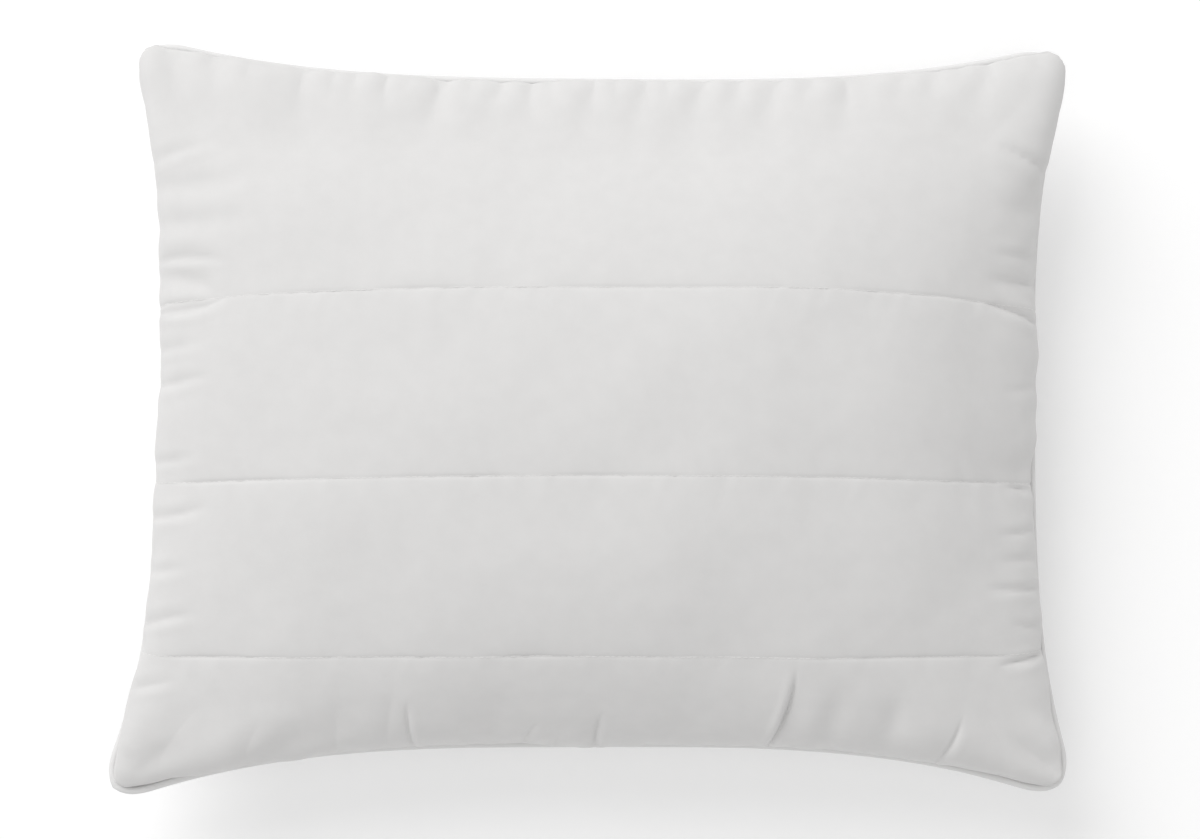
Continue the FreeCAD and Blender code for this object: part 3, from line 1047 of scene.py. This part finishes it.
# --- The pillow's pieces ----------------------------------------------------------------------------------


@dataclass
class Seam:
    """Where the edge seam runs, and how its layers are stacked."""

    line: np.ndarray
    flange: float = 1.0 * MM
    cloth: float = 0.6 * MM
    allowance: float = 10 * MM
    stitch_inset: float = 2 * MM

    def ring(self, inset: float, height: float, step: float = 2 * MM) -> np.ndarray:
        """A ring beside the seam.

        Args:
            inset: how far inside the seam the ring lies.
            height: how far above the seam it lies.
            step: about how far apart its points are.

        Returns:
            The ring's points.
        """
        even = even_ring(self.line, step)
        return even + inward_of(even) * inset + np.array([0.0, 0.0, height])


@dataclass
class Panel:
    """One cover panel: cloth that turns in at the edge seam as a seam allowance."""

    form: Sheetform
    seam: Seam
    column: float = 1.15 * MM
    line: float = 2.4 * MM
    inner_cell: float = 4 * MM
    creased: tuple[float, float] = (20 * MM, 100 * MM)
    crease_line: float = 1.3 * MM
    row_samples: int = 400
    clear_share: float = 1.3
    finer: tuple[float, ...] = (0.0, 0.5 * MM, 1.0 * MM, 1.6 * MM, 2.4 * MM, 3.6 * MM)

    def _places(self) -> tuple[np.ndarray, np.ndarray]:
        """The columns and lines of the panel's grid, with more lines at the rows of quilting."""
        bag = self.form.relief.bag
        us = np.linspace(0.0, 1.0, int(bag.cut_width / self.column))
        if not self.finer:
            return us, np.linspace(0.0, 1.0, int(bag.cut_depth / self.line))
        bands = (0.0, *self.creased, bag.cut_depth)
        steps = (self.line, self.crease_line, self.line)
        parts = [np.arange(low, high, step) for low, high, step in zip(bands, bands[1:], steps)]
        plain = np.concatenate([*parts, [bag.cut_depth]]) / bag.cut_depth
        known = np.linspace(0.0, 1.0, self.row_samples)
        along = self.form.flat_places(np.array([0.5]), known)[0, :, 1] + bag.cut_depth / 2
        offsets = np.unique([sign * off for off in self.finer for sign in (-1, 1)])
        rows = [np.interp(distance + offsets, along, known) for distance in bag.row_distances]
        reach = self.finer[-1] * self.clear_share / bag.cut_depth
        keep = np.min([np.abs(plain - row.mean()) for row in rows], axis=0) > reach
        # the last plain line but one lies too close to the edge to be of use
        keep[-2] = False
        return us, np.sort(np.concatenate([plain[keep], *rows]))

    def build(self, finish: Fabric) -> bpy.types.Object:
        """Makes the panel.

        Args:
            finish: its cloth.

        Returns:
            The new object.
        """
        sign = self.form.face.value
        us, vs = self._places()
        outer = self.form.read(us, vs)
        inner_us, inner_vs = trimmed_places(self.form.relief.bag, self.inner_cell, self.inner_cell)
        inner = self.form.read(inner_us, inner_vs, -self.seam.cloth, under=True)
        numbers = numbered(outer)
        edge = ring_of(numbers)
        ring = ring_of(outer)
        inward = inward_of(ring)
        ring[:, 2] -= sign * self.seam.cloth
        tip_low = ring + inward * self.seam.allowance
        tip_high = tip_low + [0.0, 0.0, sign * self.seam.cloth]
        high = ring + inward * self.seam.cloth + [0.0, 0.0, sign * self.seam.cloth]
        outer = outer.reshape(-1, 3)
        outer[edge] = ring
        around = len(edge)
        tips = np.arange(3 * around).reshape(3, around) + len(outer)
        inner_numbers = numbered(inner, len(outer) + 3 * around)
        faces = quads(numbers) + flipped(quads(inner_numbers))
        faces += strips([edge, *tips]) + laced(tips[2], ring_of(inner_numbers))
        flat = self.form.flat_places(us, vs).reshape(-1, 2)
        turned = flat[edge] * (1 + self.seam.allowance / np.linalg.norm(flat[edge], axis=1, keepdims=True))
        inner_flat = self.form.flat_places(inner_us, inner_vs).reshape(-1, 2)
        cloth = np.vstack([flat, turned, turned, flat[edge], inner_flat])
        points = np.vstack([outer, tip_low, tip_high, high, inner.reshape(-1, 3)])
        name = f"{self.form.face.label}_panel"
        faces = faces if self.form.face is Face.FRONT else flipped(faces)
        piece = make_piece(name, points, faces, finish, [name], cloth)
        return piece


@dataclass
class Layer:
    """A layer quilted under a cover panel, such as its wadding."""

    form: Sheetform
    kind: str
    top: float
    thickness: float
    margin: float = 20 * MM
    cell: float = 5 * MM

    def build(self, finish: Fabric) -> bpy.types.Object:
        """Makes the layer.

        Args:
            finish: what it is made of.

        Returns:
            The new object.
        """
        us, vs = trimmed_places(self.form.relief.bag, self.margin, self.cell)
        upper = self.form.read(us, vs, -self.top, under=True)
        lower = self.form.read(us, vs, -self.top - self.thickness, under=True)
        faces = slab(numbered(upper))
        faces = faces if self.form.face is Face.FRONT else flipped(faces)
        points = np.vstack([upper.reshape(-1, 3), lower.reshape(-1, 3)])
        flat = self.form.flat_places(us, vs).reshape(-1, 2)
        name = f"{self.form.face.label}_{self.kind}"
        piece = make_piece(name, points, faces, finish, [name], np.vstack([flat, flat]))
        return piece


def trimmed_places(bag: Bag, margin: float, cell: float) -> tuple[np.ndarray, np.ndarray]:
    """The columns and lines of a grid that stops short of the seam.

    Args:
        bag: the bag whose cut the grid covers.
        margin: how far from the seam it stops.
        cell: the size of its cells.

    Returns:
        The columns and the lines, within 0 to 1.
    """
    return tuple(
        np.linspace(margin / length, 1 - margin / length, int(length / cell))
        for length in (bag.cut_width, bag.cut_depth)
    )


@dataclass
class Filling:
    """The fibre filling between the two linings."""

    front: Sheetform
    back: Sheetform
    depth: float = 5.4 * MM
    margin: float = 24 * MM
    cell: float = 6 * MM
    tuft: float = 0.5 * MM
    tuft_size: float = 9 * MM

    def build(self, finish: Fabric) -> bpy.types.Object:
        """Makes the filling.

        Args:
            finish: its fibre.

        Returns:
            The new object.
        """
        us, vs = trimmed_places(self.front.relief.bag, self.margin, self.cell)
        upper = self.front.read(us, vs, -self.depth, under=True)
        lower = self.back.read(us, vs, -self.depth, under=True)
        for points, sign in ((upper, -1), (lower, 1)):
            tufts = Wander(71, self.tuft_size).at(points[..., 0], points[..., 1])
            points[..., 2] += sign * self.tuft * (1 + tufts) / 2
        points = np.vstack([upper.reshape(-1, 3), lower.reshape(-1, 3)])
        piece = make_piece("fibre_filling", points, slab(numbered(upper)), finish, ["fibre_filling"])
        return piece


@dataclass
class Piping:
    """The piping in the edge seam: a bias strip round a twisted cord."""

    seam: Seam
    radius: float = 2.6 * MM
    cloth: float = 0.5 * MM
    gap: float = 0.1 * MM
    corners: int = 18
    strands: int = 3
    strand_corners: int = 7
    lay_length: float = 15 * MM
    strand_share: float = 0.47
    strand_offset: float = 0.52
    ring_step: float = 2 * MM
    swell: float = 0.03
    swell_size: float = 24 * MM

    def _centre(self) -> tuple[np.ndarray, np.ndarray]:
        """The piping's middle line, with its outward directions."""
        centre = self.seam.ring(-(self.radius + self.gap), 0.0, self.ring_step)
        return centre, -inward_of(centre)

    def _rings(self, profile: np.ndarray) -> tuple[np.ndarray, np.ndarray, list[tuple[int, ...]]]:
        """Sweeps a profile of (outward, up) round the seam, for the points, cloth places and faces."""
        centre, outward = self._centre()
        along = np.arange(len(centre)) * self.ring_step
        swell = 1 + self.swell * Wander(5, self.swell_size).at(along)[:, None, None]
        across = outward[:, None] * profile[None, :, :1] + np.array([0.0, 0.0, 1.0]) * profile[None, :, 1:]
        points = centre[:, None] + across * swell
        numbers = numbered(points)
        faces = strips(list(np.vstack([numbers, numbers[:1]])))
        run = np.broadcast_to(along[:, None], points.shape[:2])
        round_it = np.broadcast_to(running_length(profile)[None], points.shape[:2])
        return points.reshape(-1, 3), np.stack([run, round_it], axis=-1).reshape(-1, 2), faces

    def build_cover(self, finish: Fabric) -> bpy.types.Object:
        """Makes the strip, as a hollow tube with a flange in the seam.

        Args:
            finish: its cloth.

        Returns:
            The new object.
        """
        half = self.seam.flange / 2
        open_angle = math.asin(half / self.radius)
        angles = np.linspace(math.pi - open_angle, -math.pi + open_angle, self.corners)
        tube = np.stack([np.cos(angles), np.sin(angles)], axis=1) * self.radius
        tip = -(self.radius + self.gap + self.seam.allowance)
        middle = (tip + tube[0, 0]) / 2
        flange = np.array([[middle, -half], [tip, -half], [tip, half], [middle, half]])
        outer, outer_cloth, outer_faces = self._rings(np.vstack([tube, flange]))
        angles = np.arange(self.corners) * 2 * math.pi / self.corners
        hollow = np.stack([np.cos(-angles), np.sin(-angles)], axis=1) * (self.radius - self.cloth)
        inner, inner_cloth, inner_faces = self._rings(hollow)
        faces = flipped(outer_faces) + [tuple(i + len(outer) for i in face) for face in inner_faces]
        points, cloth = np.vstack([outer, inner]), np.vstack([outer_cloth, inner_cloth])
        piece = make_piece("piping_cover", points, faces, finish, ["piping_cover"], cloth)
        return piece

    def build_cord(self, finish: Fabric) -> bpy.types.Object:
        """Makes the cord from twisted strands.

        Args:
            finish: its fibre.

        Returns:
            The new object.
        """
        centre, outward = self._centre()
        turns = round(len(centre) * self.ring_step / self.lay_length)
        room = self.radius - self.cloth - self.gap

        def towards(angle: np.ndarray) -> np.ndarray:
            """The directions at an angle to the outward ones, up from them."""
            return np.cos(angle)[:, None] * outward + np.sin(angle)[:, None] * np.array([0.0, 0.0, 1.0])

        points, faces = [], []
        for number in range(self.strands):
            phase = 2 * math.pi * (np.arange(len(centre)) * turns / len(centre) + number / self.strands)
            core = centre + self.strand_offset * room * towards(phase)
            for corner in range(self.strand_corners):
                angle = phase - 2 * math.pi * corner / self.strand_corners
                points.append(core + self.strand_share * room * towards(angle))
        numbers = np.arange(len(points) * len(centre)).reshape(self.strands, self.strand_corners, len(centre))
        for strand_numbers in numbers:
            along = list(strand_numbers.T)
            faces += flipped(strips([*along, along[0]]))
        piece = make_piece("piping_cord", np.vstack(points), faces, finish, ["piping_cord"])
        return piece


@dataclass
class Stitching:
    """Rows of stitches, each a short bead of thread."""

    finish: Fabric
    pitch: float = 4.2 * MM
    length: float = 3.5 * MM
    width: float = 0.45 * MM
    dip: float = 0.9
    bead: tuple[np.ndarray, list[tuple[int, ...]]] = field(init=False)

    def __post_init__(self) -> None:
        """Models one bead."""
        bpy.ops.object.select_all(action="DESELECT")
        bpy.ops.mesh.primitive_uv_sphere_add(segments=8, ring_count=6, radius=0.5)
        ball = bpy.context.object
        bpy.ops.object.mode_set(mode="EDIT")
        bpy.ops.mesh.select_all(action="SELECT")
        bpy.ops.transform.rotate(value=math.pi / 2, orient_axis="Y", center_override=(0.0, 0.0, 0.0))
        bpy.ops.object.mode_set(mode="OBJECT")
        places = vertex_places(ball.data)
        faces = [tuple(face.vertices) for face in ball.data.polygons]
        bpy.data.objects.remove(ball)
        # the ends of a stitch dip into the cloth
        places[:, 2] -= self.dip * places[:, 0] ** 2
        self.bead = places, faces

    def build(
        self, name: str, centres: np.ndarray, normals: np.ndarray, closed: bool = False
    ) -> bpy.types.Object:
        """Makes one row.

        Args:
            name: the piece's name.
            centres: the stitches' middles, in order.
            normals: the directions away from the cloth.
            closed: whether the row runs into its own start.

        Returns:
            The new object.
        """
        if closed:
            ahead = np.roll(centres, -1, axis=0) - np.roll(centres, 1, axis=0)
        else:
            ahead = np.gradient(centres, axis=0)
        ahead /= np.linalg.norm(ahead, axis=1, keepdims=True)
        aside = np.cross(normals, ahead)
        aside /= np.linalg.norm(aside, axis=1, keepdims=True)
        up = np.cross(ahead, aside)
        places, faces = self.bead
        points = (
            centres[:, None]
            + ahead[:, None] * places[None, :, :1] * self.length
            + aside[:, None] * places[None, :, 1:2] * self.width
            + up[:, None] * places[None, :, 2:] * self.width
        )
        every = [
            tuple(i + number * len(places) for i in face) for number in range(len(centres)) for face in faces
        ]
        return make_piece(name, points.reshape(-1, 3), every, self.finish, [name])


@dataclass
class Label:
    """A blank tape sewn into the edge seam, lying on the back."""

    form: Sheetform
    middle: float = 205 * MM
    width: float = 38 * MM
    length: float = 52 * MM
    thickness: float = 0.35 * MM
    gap: float = 0.3 * MM
    lift: float = 0.8 * MM
    held: float = 5 * MM
    cell: float = 2 * MM

    def build(self, finish: Fabric) -> bpy.types.Object:
        """Makes the label.

        Args:
            finish: its tape.

        Returns:
            The new object.
        """
        bag = self.form.relief.bag
        columns, lines = int(self.width / self.cell) + 1, int(self.length / self.cell) + 1
        x, y = np.meshgrid(
            np.linspace(-0.5, 0.5, columns) * self.width + self.middle,
            np.linspace(1 * MM, self.length, lines) - bag.cut_depth / 2,
            indexing="ij",
        )
        points, normals = self.form.frames(x.ravel(), y.ravel())
        lift = self.gap + self.lift * ease(y.ravel() + bag.cut_depth / 2, self.held, self.length)[:, None]
        near, far = points + normals * lift, points + normals * (lift + self.thickness)
        cloth = np.stack([x.ravel(), y.ravel()], axis=1)
        points, cloth = np.vstack([near, far]), np.vstack([cloth, cloth])
        piece = make_piece("care_label", points, slab(numbered(x)), finish, ["care_label"], cloth)
        return piece


# --- The whole pillow -------------------------------------------------------------------------------------


FRONT_CREASES = (
    Crease((-290, 173), (-248, 186), 1.5, 4.0, 1.0),
    Crease((-286, 107), (-236, 106), 2.0, 5.0, 1.5, 0.5, 3.0, 0.5),
    Crease((-286, 72), (-236, 83), -3.0, 5.0, 1.7, 0.5, 3.0, 0.6),
    Crease((-288, 46), (-252, 53), 0.0, 3.6, 0.9),
    Crease((-290, 20), (-246, 30), 1.5, 4.0, 1.2, 0.4, 3.0, 0.4),
    Crease((-292, -30), (-256, -22), 0.0, 3.2, 0.9),
    Crease((-294, -66), (-250, -56), -1.5, 3.6, 1.3, 0.4, 3.0, 0.4),
    Crease((-297, -104), (-262, -96), 0.0, 3.4, 1.0),
    Crease((-301, -140), (-258, -128), 2.0, 4.2, 1.3, 0.4, 3.0, 0.4),
    Crease((-306, -182), (-272, -172), 0.0, 4.0, 1.0),
    Crease((310, 163), (270, 186), -2.5, 4.0, 1.6, 0.4, 3.0, 0.7),
    Crease((300, 110), (266, 112), 0.0, 3.8, 1.3),
    Crease((301, 92), (262, 96), 1.5, 3.6, 1.4, 0.4, 3.0, 0.5),
    Crease((304, 60), (262, 79), -3.0, 3.2, 2.0, 0.4, 3.0, 1.4),
    Crease((302, 22), (272, 20), 0.0, 3.4, 0.9),
    Crease((305, -49), (274, -44), 0.0, 3.0, 1.6, 0.4, 3.0, 1.3),
    Crease((308, -70), (270, -76), 1.5, 3.4, 1.4, 0.4, 3.0, 0.6),
    Crease((309, -92), (268, -94), 0.0, 3.2, 1.2),
    Crease((308, -113), (262, -112), 0.0, 3.2, 1.4, 0.4, 3.0, 1.0),
    Crease((313, -140), (278, -134), 1.5, 4.2, 1.4, 0.4, 3.0, 0.5),
    Crease((312, -156), (272, -164), 0.0, 3.2, 1.8, 0.4, 3.0, 1.5),
    Crease((-116, -226), (-119, -184), 2.0, 10.0, 2.2, 0.25, 3.0, 1.4),
    Crease((-136, -224), (-126, -172), 1.0, 7.0, 1.4, 0.2, 5.0),
    Crease((-50, -226), (-30, -198), 2.0, 6.0, 1.7, 0.3, 3.0, 1.0),
    Crease((-38, -230), (-16, -204), -2.0, 7.0, 1.4, 0.3, 3.0, 0.8),
    Crease((5, -226), (11, -190), 2.5, 10.0, 2.2, 0.25, 3.0, 1.5),
    Crease((114, -230), (138, -160), -6.0, 2.6, 4.0, 0.3, 12.0, 2.6),
    Crease((225, -238), (251, -194), -5.0, 9.0, 1.7, 0.25, 3.0, 1.4),
    Crease((328, -250), (278, -208), 0.0, 7.0, 4.0, 0.4, 7.0),
    Crease((-236, -236), (-214, -196), 2.0, 8.0, 1.3, 0.2, 5.0),
    Crease((-170, -230), (-166, -186), 0.0, 8.0, 1.2, 0.2, 5.0),
    Crease((-216, 246), (-222, 222), 0.0, 4.4, 1.2),
    Crease((-104, 238), (-100, 210), 0.0, 4.4, 1.0),
)

FRONT_DENTS = (
    Dent((-262, 158), (32, 7), 1.8, 6.0),
    Dent((-260, 133), (34, 7), 1.6, 4.0),
    Dent((-262, 92), (17, 6), 2.0, -20.0),
    Dent((163, -200), (10, 20), 3.6, -12.0),
    Dent((204, -200), (9, 17), 2.6, -14.0),
    Dent((-62, -206), (13, 20), 1.6),
    Dent((62, -206), (14, 20), 1.6),
    Dent((-205, -214), (26, 12), 2.0, 12.0),
    Dent((-290, -226), (22, 9), 2.0, 24.0),
    Dent((296, 140), (20, 8), 1.4, -14.0),
)

ROW_NAMES = ("lower", "middle", "upper")


@dataclass
class Pillow:
    """The whole pillow, built from its blown-up bag."""

    fabrics: Fabrics = Fabrics()
    bag: Bag = field(default_factory=Bag)
    smoothing: int = 30
    smooth_from: float = 12 * MM
    smooth_to: float = 95 * MM
    seam_wave: float = 1.6 * MM
    back_share: float = 1.14
    row_margin: float = 9 * MM
    front_rolls: tuple[float, ...] = (0.6 * MM, 3.2 * MM, 4.6 * MM, 2.0 * MM)
    bobbin_depth: float = 4.75 * MM
    needle_lift: float = 0.12 * MM
    crown_room: float = 1 * MM
    wave_size: float = 120 * MM
    wave_fade: float = 60 * MM
    seeds: tuple[int, int] = (300, 500)
    seam_samples: tuple[int, int] = (441, 341)
    wadding: tuple[float, float] = (0.9 * MM, 3.0 * MM)
    lining: tuple[float, float] = (4.04 * MM, 0.4 * MM)
    edge_lift: float = 0.3 * MM
    closing_half: float = 90 * MM
    closing_inset: float = 5 * MM

    def __post_init__(self) -> None:
        """Makes the two surfaces and the seam from the frame's heights."""
        low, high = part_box("piping_cover")
        self.seam_height = (low[2] + high[2]) / 2
        self.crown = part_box("front_panel")[1][2] - self.seam_height
        stack = Seam.flange / 2 + Seam.cloth
        flat = self.bag.cut.patch(self.bag.across, self.bag.along)
        self.forms = {}
        for face, points in self.bag.blow_up().items():
            points = self._settle(points, flat)
            if face is Face.FRONT:
                points = self.bag.sag(points)
                wanted = self.crown - stack - self.crown_room
                relief = Relief(self.bag, self.seeds[0], FRONT_CREASES, FRONT_DENTS, rolls=self.front_rolls)
            else:
                wanted = self.seam_height * self.back_share
                relief = Relief(self.bag, self.seeds[1])
            points[..., 2] *= wanted / np.abs(points[..., 2]).max()
            fade = 1 - ease(np.abs(points[..., 2]), 0.0, self.wave_fade)
            wave = self.seam_wave * Wander(91, self.wave_size).at(points[..., 0], points[..., 1])
            points[..., 2] += self.seam_height + face.value * stack + wave * fade
            self.forms[face] = Sheetform(face, points, flat, relief)
        edge = self.forms[Face.FRONT].read(*(np.linspace(0.0, 1.0, count) for count in self.seam_samples))
        self.seam = Seam(ring_of(edge) - [0.0, 0.0, stack])

    def _settle(self, points: np.ndarray, flat: np.ndarray) -> np.ndarray:
        """Smooths the long wrinkles out of a panel's middle, where the fibres press on it."""
        half_x, half_y = self.bag.half
        to_seam = np.minimum(half_x - np.abs(flat[..., 0]), half_y - np.abs(flat[..., 1]))
        weight = 0.5 * ease(to_seam, self.smooth_from, self.smooth_to)[1:-1, 1:-1, None]
        for _ in range(self.smoothing):
            around = points[2:, 1:-1] + points[:-2, 1:-1] + points[1:-1, 2:] + points[1:-1, :-2]
            points[1:-1, 1:-1] += weight * (around / 4 - points[1:-1, 1:-1])
        return points

    def build(self) -> list[bpy.types.Object]:
        """Makes every piece.

        Returns:
            The pieces.
        """
        front, back = self.forms[Face.FRONT], self.forms[Face.BACK]
        pieces = [
            Panel(front, self.seam).build(self.fabrics.percale),
            Panel(back, self.seam, column=3 * MM, line=3 * MM, finer=()).build(self.fabrics.percale),
        ]
        for form in (front, back):
            pieces.append(Layer(form, "wadding", *self.wadding).build(self.fabrics.fleece))
            pieces.append(Layer(form, "lining", *self.lining).build(self.fabrics.web))
        pieces.append(Filling(front, back).build(self.fabrics.fibre))
        piping = Piping(self.seam)
        pieces += [piping.build_cover(self.fabrics.bias_strip), piping.build_cord(self.fabrics.cord)]
        pieces += self._threads()
        pieces.append(Label(back).build(self.fabrics.tape))
        return pieces

    def _threads(self) -> list[bpy.types.Object]:
        """Makes the quilting rows, the edge seam and the closing seam."""
        stitching = Stitching(self.fabrics.thread)
        half_x, half_y = self.bag.half
        x = np.arange(-half_x + self.row_margin, half_x - self.row_margin, stitching.pitch)
        pieces = []
        for face, form in self.forms.items():
            for row, distance in zip(ROW_NAMES, self.bag.row_distances):
                centres, normals = form.frames(x, np.full_like(x, distance - half_y))
                for thread, lift in (("needle", self.needle_lift), ("bobbin", -self.bobbin_depth)):
                    name = f"{face.label}_{thread}_thread_{row}"
                    pieces.append(stitching.build(name, centres + normals * lift, normals))
        for thread, sign in (("needle", 1), ("bobbin", -1)):
            height = sign * (Seam.flange / 2 + Seam.cloth + self.edge_lift)
            ring = self.seam.ring(Seam.stitch_inset, height, stitching.pitch)
            normals = np.tile([0.0, 0.0, float(sign)], (len(ring), 1))
            pieces.append(stitching.build(f"edge_seam_{thread}_thread", ring, normals, closed=True))
        x = np.arange(-self.closing_half, self.closing_half, stitching.pitch)
        centres, normals = self.forms[Face.BACK].frames(x, np.full_like(x, self.closing_inset - half_y))
        pieces.append(stitching.build("closing_thread", centres + normals * self.needle_lift, normals))
        return pieces


# --- The studio -------------------------------------------------------------------------------------------


@dataclass(frozen=True)
class Lamp:
    """A round, soft light that faces the pillow."""

    name: str
    place: tuple[float, float, float]
    size: float
    power: float

    def build(self) -> None:
        """Adds the light."""
        light = bpy.data.lights.new(self.name, "AREA")
        light.shape = "DISK"
        light.size = self.size
        light.energy = self.power
        lamp = bpy.data.objects.new(self.name, light)
        lamp.location = self.place
        lamp.rotation_euler = Vector(self.place).to_track_quat("Z", "Y").to_euler()
        bpy.context.collection.objects.link(lamp)


@dataclass
class Studio:
    """The floor, the lights and the camera."""

    seam_height: float
    middle: tuple[float, float] = (0.0085, 0.0010)
    view_width: float = 0.816
    lens: float = 85.0
    floor_size: float = 60.0
    floor_white: float = 0.90
    floor_glow: float = 0.16
    world: float = 0.55
    floor_height: float = -0.5 * MM
    lamps: tuple[Lamp, ...] = (
        Lamp("key", (-2.6, 4.0, 4.0), 4.6, 190.0),
        Lamp("fill", (-0.4, -0.8, 5.4), 4.6, 46.0),
    )

    def build(self) -> None:
        """Sets everything up."""
        self._floor()
        self._world()
        for lamp in self.lamps:
            lamp.build()
        self._camera()

    def _floor(self) -> None:
        """Lays a plain white floor."""
        bpy.ops.object.select_all(action="DESELECT")
        bpy.ops.mesh.primitive_plane_add(size=self.floor_size, location=(0.0, 0.0, self.floor_height))
        floor = bpy.context.object
        floor.name = "floor"
        material = bpy.data.materials.new("floor")
        material.use_nodes = True
        shader = material.node_tree.nodes["Principled BSDF"]
        shader.inputs["Base Color"].default_value = (self.floor_white,) * 3 + (1.0,)
        shader.inputs["Roughness"].default_value = 1.0
        shader.inputs["Specular IOR Level"].default_value = 0.0
        shader.inputs["Emission Color"].default_value = (1.0, 1.0, 1.0, 1.0)
        shader.inputs["Emission Strength"].default_value = self.floor_glow
        floor.data.materials.append(material)

    def _world(self) -> None:
        """Lights the room evenly."""
        world = bpy.data.worlds.new("studio")
        world.use_nodes = True
        background = world.node_tree.nodes["Background"]
        background.inputs["Color"].default_value = (1.0, 1.0, 1.0, 1.0)
        background.inputs["Strength"].default_value = self.world
        bpy.context.scene.world = world

    def _camera(self) -> None:
        """Looks straight down, with +Y up in the picture."""
        camera = bpy.data.cameras.new("camera")
        camera.lens = self.lens
        camera.sensor_width = 36.0
        far = self.view_width * self.lens / camera.sensor_width
        eye = bpy.data.objects.new("camera", camera)
        eye.location = (*self.middle, self.seam_height + far)
        bpy.context.collection.objects.link(eye)
        scene = bpy.context.scene
        scene.camera = eye
        scene.view_settings.view_transform = "Standard"


def main() -> None:
    """Builds the pillow and its studio."""
    logging.basicConfig(level=logging.INFO)
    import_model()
    bpy.ops.object.select_all(action="DESELECT")
    pillow = Pillow()
    for piece in pillow.build():
        LOG.info("%s: %d faces", piece.name, len(piece.data.polygons))
    Studio(pillow.seam_height).build()


if __name__ == "__main__":
    main()
